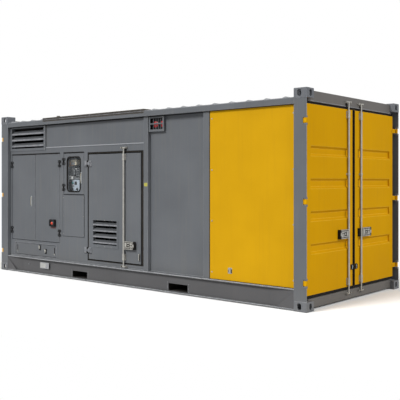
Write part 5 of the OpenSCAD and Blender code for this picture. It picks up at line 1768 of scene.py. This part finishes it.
@dataclass(frozen=True)
class LockGear(BarFitting):
    """Lock box with a rubber end."""

    towards: int
    middle_z: float
    length: float = 246.0
    metal_to: float = 216.0
    height: float = 112.0
    far_plate: bool = False
    # From and to along the box, where less than 0 counts back from the metal's end, then bottom and top.
    dividers: tuple[tuple[float, float, float, float], ...] = (
        (39, 78, -38, 38), (86, 134, 22, 38), (86, 134, -38, -24), (142, -18, -38, 4), (142, -18, 12, 38))
    stud: Profile = ((13, 0), (13, 5), (10, 8), (0, 8))
    rivet: Profile = ((6, 0), (6, 1.5), (4, 2), (0, 2))
    rivets_at: tuple[Span, ...] = ((58, -26), (58, 26), (164, -20), (164, 25))

    def build(self) -> None:
        """Builds the box."""
        def out(u: float) -> float:
            """Returns the place u from the bar's axis."""
            return self.bar_at + self.towards * u

        mid, back = self.middle_z, self.leaf_in
        z0, z1 = mid - self.height / 2, mid + self.height / 2
        end = self.metal_to
        maker = Maker(self.face)
        # black block behind the rim: painted shade in the box's hollows between the dividers
        maker.block((out(23), out(end)), (21, back - 1), (z0 + 2, z1 - 2), 1.0, 1)
        maker.ring(box_outline(ordered(out(22), out(end)), (z0, z1)),
                   box_outline(ordered(out(33), out(end - 10)), (z0 + 10, z1 - 10)), (15, back - 4), 2.5, 0)
        for near, far, low, high in self.dividers:
            far += end if far < 0 else 0
            maker.block((out(near), out(far)), (16.5, 22), (mid + low, mid + high), 2.0, 0)
        maker.lathe((out(110), 24, mid - 1), OUT, self.stud, 2, 18)
        for u, z in self.rivets_at:
            maker.lathe((out(u), 17, mid + z), OUT, self.rivet, 2 if z > 0 else 1, 12)
        ends = ordered(out(end - 3), out(self.length))
        maker.prism(round_outline(ends, grown((z0, z1), 2), 14.0, 6), (15, back - 2), 5.0, 1, 3)
        maker.block((out(end - 2), out(self.length - 8)), (12.5, 17), (mid - 20, mid + 20), 3.0, 0)
        if self.far_plate:
            maker.block((out(-62), out(-20)), (24, back), (z0 + 4, z1 - 4), 4.0, 1)
        maker.piece(self.name, self.body, [Finish.GALVANISED, Finish.RUBBER, Finish.ZINC], [self.node])


@dataclass(frozen=True)
class BarGuides(BarFitting):
    """Saddle guides that hold a locking bar to a leaf: a bolted foot under a waisted hump."""

    levels: tuple[float, ...]
    bar_in: float = 35.0
    bore: float = 14.0
    half_width: float = 27.0
    height: float = 92.0
    collar: float = 24.0
    foot: float = 6.0
    hump: Span = (20.5, 18.3)
    waist: Span = (18.5, 15.8)
    half_waist: float = 9.0
    collar_at: tuple[float, ...] = ()

    def build(self) -> None:
        """Builds the guides."""
        maker = Maker(self.face)
        reach, waist = self.height / 2, self.half_waist
        for z in self.levels:
            self._foot(maker, z, reach)
            for low, high, size in ((-reach, -waist, self.hump), (-waist, waist, self.waist),
                                    (waist, reach, self.hump)):
                self._hump(maker, (z + low, z + high), *size)
            SCREWS.add(self.body, self.face, Head.SMALL, grid(
                grown((self.bar_at, self.bar_at), 24), self.leaf_in - self.foot, grown((z, z), 33)))
        for z in self.collar_at:
            self._foot(maker, z, self.collar / 2)
            self._hump(maker, grown((z, z), self.collar / 2), *self.hump)
        maker.piece(self.name, self.body, [Finish.GALVANISED], [self.node])

    def _foot(self, maker: Maker, z: float, reach: float) -> None:
        """Adds the flat foot of a guide, from z less reach to z plus reach."""
        maker.block(grown((self.bar_at, self.bar_at), self.half_width), (self.leaf_in - self.foot, self.leaf_in),
                    grown((z, z), reach), 1.5)

    def _hump(self, maker: Maker, up: Span, wide: float, front: float) -> None:
        """Adds a hump round the bar, open for it and straight-sided down to the foot.

        Args:
            maker: Gathers the shape.
            up: Its bottom and top.
            wide: Half its width.
            front: How far it stands in front of the bar's axis.
        """
        deep, outer, inner = self.leaf_in - self.bar_in - 2, [], []
        for c, s in circle(1.0, 32):
            reach = wide if s <= 0 else min(wide / max(abs(c), 1e-6), deep / s)
            outer.append((self.bar_at + reach * c, self.bar_in + (front if s <= 0 else reach) * s))
            inner.append((self.bar_at + self.bore * c, self.bar_in + self.bore * s))
        maker.ring(outer, inner, up, 1.2, upright=True)


@dataclass(frozen=True)
class BarKeepers(BarFitting):
    """Cheeked plates that a locking bar's cams turn into, and a black block that stands for the shadow beside the bar.
    """

    levels: tuple[float, float]
    towards: int
    room: float = 50.0
    cheek: float = 8.0
    half_height: float = 13.0
    foot: float = 6.0
    screw_off: float = 34.0
    buffer_drop: float = 42.0

    def build(self) -> None:
        """Builds the keepers, with the black shadow block on its side of the bar."""
        maker = Maker(self.face)
        at, back, reach, half = self.bar_at, self.leaf_in, self.room + self.cheek, self.half_height
        for z in self.levels:
            maker.block(grown((at, at), reach), (back - self.foot, back), grown((z, z), half), 2.0)
            for s in (-1, 1):
                maker.block((at + s * self.room, at + s * reach), (27, back - 5), grown((z, z), half), 3.0)
            SCREWS.add(self.body, self.face, Head.SMALL, grid(grown((at, at), self.screw_off), back - self.foot, [z]))
        # black block under the top keeper, beside the bar: painted shadow
        top = self.levels[1] - half - 1
        maker.block((at + self.towards * 6, at + self.towards * 38), (back - 9, back),
                    (top - self.buffer_drop, top), 2.0, 1)
        maker.piece(self.name, self.body, [Finish.GALVANISED, Finish.RUBBER], [self.node])


@dataclass
class ServiceDoor:
    """The wide hinged door with a vent, a locking bar and a gasket round it."""

    leaf_along: Span = (2197.0, 3310.0)
    leaf_up: Span = (335.0, 1908.0)
    doorway_along: Span = (2171.0, 3364.0)
    doorway_up: Span = (312.0, 1942.0)
    hinge_at: float = 2184.0
    hinge_in: float = 46.0
    hinge_up: Span = (467.0, 1772.0)
    wing: Span = (15.0, 80.0)
    half_wing: float = 45.0
    half_knuckle: float = 18.0
    wing_screws: float = 28.0
    vent_along: Span = (2301.0, 2816.0)
    vent_up: Span = (564.0, 924.0)
    bar_at: float = 2984.0
    lock_z: float = 591.0
    hook_at: float = 3287.0
    guide_up: Span = (420.0, 1852.0)
    keeper_up: Span = (282.0, 1986.0)
    vent_screws_along: tuple[float, ...] = (2396.0, 2560.0, 2700.0)
    vent_screws_up: Span = (928.0, 541.0)
    vent_in: float = 55.0
    hook_path: tuple[Span, ...] = ((56, 388), (47, 390), (43, 398), (42, 436), (43, 460), (45, 472), (56, 478))
    hook_radii: tuple[float, ...] = (5.5, 5.5, 6, 6, 7, 9.5, 8)

    def build(self) -> None:
        """Builds the door and what belongs to it."""
        self._leaf()
        gear = (Face.FRONT, "service_door", "service_door_gear", self.bar_at, WALL_IN)
        BarKeepers("service_keepers", Face.FRONT, "frame", "service_door_fittings", self.bar_at, WALL_IN,
                   self.keeper_up, towards=1, buffer_drop=29.0).build()
        self._seal()
        self._hinges()
        CarriedShape("service_door_bar", Finish.GALVANISED, 1.5).build()
        BarGuides("service_guides", *gear, self.guide_up).build()
        LockGear("service_lock_box", *gear, 1, self.lock_z, length=234.0, metal_to=204.0).build()
        self._hook()
        SCREWS.add("service_door", Face.FRONT, Head.SMALL,
                   grid(self.vent_screws_along, self.vent_in, self.vent_screws_up))

    def _leaf(self) -> None:
        """Builds the leaf with its vent."""
        maker = Maker()
        (v0, v1), (w0, w1) = self.vent_along, self.vent_up
        vent = box_outline(self.vent_along, self.vent_up)
        maker.ring(box_outline(self.leaf_along, self.leaf_up), vent, (WALL_IN, 110), 4.0)
        maker.ring(box_outline((v0 - 44, v1 + 30), (w0 - 44, w1 + 8)), vent, (self.vent_in, 61), 1.8)
        maker.piece("service_leaf", "service_door", [Finish.GREY], ["service_door"])
        LouvreBank("service_vent", Face.FRONT, "service_door", self.vent_along, self.vent_up, (57, 104),
                   pitch=88.0, foot=20.0, lip=22.0, see=36.0).slats(["service_door"])

    def _seal(self) -> None:
        """Builds the sponge gasket in the doorway and the lip that closes behind the leaf."""
        maker = Maker()
        doorway = box_outline(self.doorway_along, self.doorway_up)
        # the outer ring is the darkened sponge rubber: partly painted shade of the gap
        for slot, (grow, depth, bevel) in enumerate(((12, (66, 110), 3.0), (-10, (113, 119), 1.0))):
            inner = box_outline(grown(self.leaf_along, grow), grown(self.leaf_up, grow))
            maker.ring(doorway, inner, depth, bevel, slot)
        maker.piece("service_doorway_seal", "frame", [Finish.GASKET, Finish.RUBBER], ["service_door_seal"])

    def _hinges(self) -> None:
        """Builds the grey block hinges of the service door."""
        for half, side, body, node in (("mounts", -1, "frame", "service_door_fittings"),
                                       ("wings", 1, "service_door", "service_door_gear")):
            maker = Maker()
            for z in self.hinge_up:
                near, far = (self.hinge_at + side * reach for reach in self.wing)
                maker.block((near, far), (53, WALL_IN), grown((z, z), self.half_wing), 2.0, 0)
                maker.block((near + side * 5, far - side * 22), (40 if side < 0 else 34, 56), (z - 26, z + 30), 5.0, 0)
                low, high = self.half_knuckle + 1, self.half_wing + 1
                for z0, z1 in ([grown((z, z), self.half_knuckle)] if side > 0 else
                               [(z - high, z - low), (z + low, z + high)]):
                    maker.block((self.hinge_at, near), (50, WALL_IN), (z0, z1), 1.0, 0)
                    maker.lathe((self.hinge_at, self.hinge_in, z0), UPWARDS, [
                        (11, 0), (13, 2), (13, z1 - z0 - 2), (11, z1 - z0)], 0 if side > 0 else 1, 18)
                SCREWS.add(body, Face.FRONT, Head.PAN, grid(
                    [far - side * 11], 53.0, grown((z, z), self.wing_screws)), Finish.GREY_EDGE)
                # black strip just under each hinge wing: painted shadow beneath the hinge
                maker.block((near + side * 2, far + side * 2), (57, 59.5), (z - 52, z - 40), 0.5, 1)
            maker.piece(f"service_hinge_{half}", body, [Finish.GREY_EDGE, Finish.RUBBER], [node])

    def _hook(self) -> None:
        """Builds the pale hold-open hook near the free edge."""
        maker = Maker()
        # black pad behind the hook: painted shadow round it
        maker.block(grown((self.hook_at, self.hook_at), 10), (56, WALL_IN), (376, 486), 1.5, 1)
        maker.tube([(self.hook_at, d, z) for d, z in self.hook_path], self.hook_radii, 0, 10)
        maker.piece("service_door_hook", "service_door", [Finish.ZINC, Finish.RUBBER], ["service_door_gear"])


@dataclass
class EndDoors:
    """Pressed swing doors at both ends, with seals, guides, bars, lock boxes and clips."""

    lock_z: float = 848.0
    bar_off: float = 166.0
    leaf_in: float = 57.0
    edge: tuple[Row, ...] = (
        ((1196, 1199), (55, 106), (176, 2414), 1.0, 0), ((1189, 1199), (53.5, 57.5), (176, 2414), 1.0, 0))
    clip: tuple[Row, ...] = (
        ((1136, 1182), (53, 57), (380, 450), 1.0, 0), ((1140, 1152), (40, 54), (388, 442), 3.0, 0))
    clip_path: tuple[Point, ...] = ((1158, 46, 392), (1166, 43, 404), (1170, 42, 420), (1166, 44, 438))
    clip_radii: tuple[float, ...] = (5, 5, 5, 4.5)
    guide_up: Span = (245.0, 2346.0)
    collar_up: float = 1598.0
    keeper_in: float = 60.0
    keeper_up: Span = (98.0, 2503.0)

    def build(self) -> None:
        """Builds the four leaves."""
        for face in ENDS:
            self._leaf(face)

    def _leaf(self, face: Face) -> None:
        """Builds one leaf and what moves with it.

        Args:
            face: Corner that it hangs in.
        """
        tag = face.tag
        body, bar_at = f"{tag}_leaf", WIDTH / 2 - self.bar_off
        CarriedShape(f"{tag}_leaf", Finish.YELLOW_DOOR, 3.5, 3, lining_axis=0).build()
        maker = Maker(face)
        maker.blocks(self.edge)
        maker.piece(f"{tag}_edge_rubber", body, [Finish.RUBBER])
        CarriedShape(f"{tag}_seal", Finish.RUBBER, 3.0).build()
        CarriedShape(f"{tag}_bar", Finish.GALVANISED, 1.5).build()
        gear = (face, body, f"{tag}_gear", bar_at, self.leaf_in)
        BarGuides(f"{tag}_guides", *gear, self.guide_up, collar_at=(self.collar_up,)).build()
        LockGear(f"{tag}_lock_box", *gear, -1, self.lock_z, far_plate=face.value[2] > 0).build()
        self._clip(face, body, tag)
        BarKeepers(f"{tag}_keepers", face, "frame", "end_keepers", bar_at, self.keeper_in, self.keeper_up,
                   towards=-1).build()

    def _clip(self, face: Face, body: str, tag: str) -> None:
        """Builds the dark hold-back clip beside the middle gasket.

        Args:
            face: Corner that the leaf hangs in.
            body: CAD body that it moves with.
            tag: The leaf's name.
        """
        maker = Maker(face)
        maker.blocks(self.clip)
        # pale blue hook on the black clip: painted bluish highlight
        maker.tube(self.clip_path, self.clip_radii, 1, 10)
        maker.piece(f"{tag}_clip", body, [Finish.BLACK, Finish.SWITCH_PALE], [f"{tag}_gear"])


@dataclass
class AlarmLamps:
    """Two red lamps behind a welded guard."""

    guard_along: Span = (3470.0, 3760.0)
    guard_up: Span = (2190.0, 2398.0)
    guard_deep: Span = (54.0, 92.0)
    open_along: Span = (3498.0, 3732.0)
    open_up: Span = (2222.0, 2376.0)
    bar_up: Span = (2290.0, 2309.0)
    wire_in: float = 74.0
    wires: int = 4

    def build(self) -> None:
        """Builds the lamps and the guard."""
        CarriedShape("alarm_lamps", Finish.RED_LENS, 1.0).build()
        along, up, (front, back) = self.open_along, self.open_up, self.guard_deep
        maker = Maker()
        maker.ring(box_outline(self.guard_along, self.guard_up), box_outline(along, up), self.guard_deep, 3.0)
        # black sleeve and back plate behind the grille: painted shade inside the guard
        maker.ring(box_outline(grown(along, 0.5), grown(up, 0.5)), box_outline(grown(along, -1), grown(up, -1)),
                   (front + 6, back), 0.0, 1)
        maker.block(grown(along, 6), (back - 4, back), grown(up, 6), 1.0, 1)
        maker.block(grown(along, 2), (front + 3, front + 7), self.bar_up, 1.0)
        maker.piece("lamp_housing", "frame", [Finish.GREY, Finish.SWITCH_BLACK], ["lamp_guard"])
        step = (along[1] - along[0]) / (self.wires + 1)
        wires = [grid([along[0] + step * i], self.wire_in, grown(up, 3)) for i in range(1, self.wires + 1)]
        BEADS.apply(lines_on(Face.FRONT, wires, "lamp_guard_wires"), Finish.GREY, "frame", Radius=0.0038,
                    Step=0.2, Facets=8)
        (a0, a1), (z0, z1) = self.guard_along, self.guard_up
        SCREWS.add("frame", Face.FRONT, Head.SMALL, grid((a0 + 14, a1 - 14), front, (z0 + 15, z1 - 12)))


@dataclass
class Roof:
    """Ribbed roof sheets and the dark raised hatch over the engine bay."""

    sheets: tuple[Span, ...] = ((178.0, 1139.0), (3420.0, 5880.0))
    sheet_z: Span = (2484.0, 2490.0)
    edge_in: float = 20.0
    rib_pitch: float = 270.0
    rib_w: float = 130.0
    rib_h: float = 20.0
    rib_steps: int = 12
    # thin light strip under the hatch: painted highlight
    hatch_line: Row = ((1141, 3418), (2.5, 6), (2478, 2484), 1.0, 0)
    hatch_bolts: int = 11
    first_bolt: float = 1199.0
    bolt_in: float = 4.0
    bolt_z: float = 2498.0
    bolt_pitch: float = 216.0

    def build(self) -> None:
        """Builds the roof."""
        maker = Maker()
        for a0, a1 in self.sheets:
            maker.block((a0, a1), (self.edge_in, WIDTH - self.edge_in), self.sheet_z, 2.0)
        maker.piece("roof_sheets", "frame", [Finish.ROOF_SHEET], ["roof_panels"])
        for number, span in enumerate(self.sheets, 1):
            self._ribs(number, span)
        CarriedShape("roof_hatch", Finish.ROOF, 3.0).build()
        self._hatch_trim()

    def _ribs(self, number: int, span: Span) -> None:
        """Presses round ribs across one roof sheet.

        Args:
            number: The sheet's number.
            span: Its two ends.
        """
        gaps = int((span[1] - span[0] - self.rib_w) // self.rib_pitch)
        first = span[0] + (span[1] - span[0] - gaps * self.rib_pitch) / 2
        steps = self.rib_steps
        shape = bmesh.new()
        ends = ((self.edge_in + 10, 0.0), (self.edge_in + 34, 1.0), (WIDTH - self.edge_in - 34, 1.0),
                (WIDTH - self.edge_in - 10, 0.0))
        loops = []
        for depth, share in ends:
            loops.append([shape.verts.new(Face.FRONT.matrix @ Vector((
                first + self.rib_w * (i / steps - 0.5), depth,
                self.sheet_z[1] - 1 + share * self.rib_h * (0.5 - 0.5 * math.cos(2 * math.pi * i / steps)))))
                for i in range(steps + 1)])
        for near, far in zip(loops, loops[1:]):
            for i in range(steps):
                shape.faces.new((near[i], near[i + 1], far[i + 1], far[i]))
        bmesh.ops.remove_doubles(shape, verts=shape.verts, dist=1e-6)
        bmesh.ops.recalc_face_normals(shape, faces=shape.faces)
        if shape.faces[steps + 2].normal.z < 0:
            bmesh.ops.reverse_faces(shape, faces=shape.faces)
        for f in shape.faces:
            f.smooth = True
        name = f"roof_ribs_{number}"
        rows = ROWS.apply(show(mesh_of(shape, name), name), Finish.ROOF_SHEET, "frame", Count=gaps + 1,
                          Offset=(self.rib_pitch * MM, 0.0, 0.0))
        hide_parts("roof_panels")

    def _hatch_trim(self) -> None:
        """Adds a thin strip in the lighter edge grey under the hatch, a painted highlight, and its row of bolts."""
        for face in SIDES:
            maker = Maker(face)
            maker.block(*self.hatch_line)
            maker.piece(f"hatch_line_{face.tag}", "frame", [Finish.GREY_EDGE])
            SCREWS.add("frame", face, Head.SMALL, [
                (self.first_bolt + i * self.bolt_pitch, self.bolt_in, self.bolt_z)
                for i in range(self.hatch_bolts)], Finish.GREY_EDGE)


def main() -> None:
    logging.basicConfig(level=logging.INFO, format="%(name)s: %(message)s")
    Studio().build()
    for assembly in (Steelwork(), SideWalls(), CableCover(), CableDoors(), WindowDoor(), ServiceDoor(),
                     EndDoors(), AlarmLamps(), Roof()):
        before = len(bpy.context.scene.objects)
        assembly.build()
        LOG.info("%s: %d pieces", type(assembly).__name__, len(bpy.context.scene.objects) - before)
    LOG.info("fastener heads: %d", SCREWS.build())


if __name__ == "__main__":
    main()
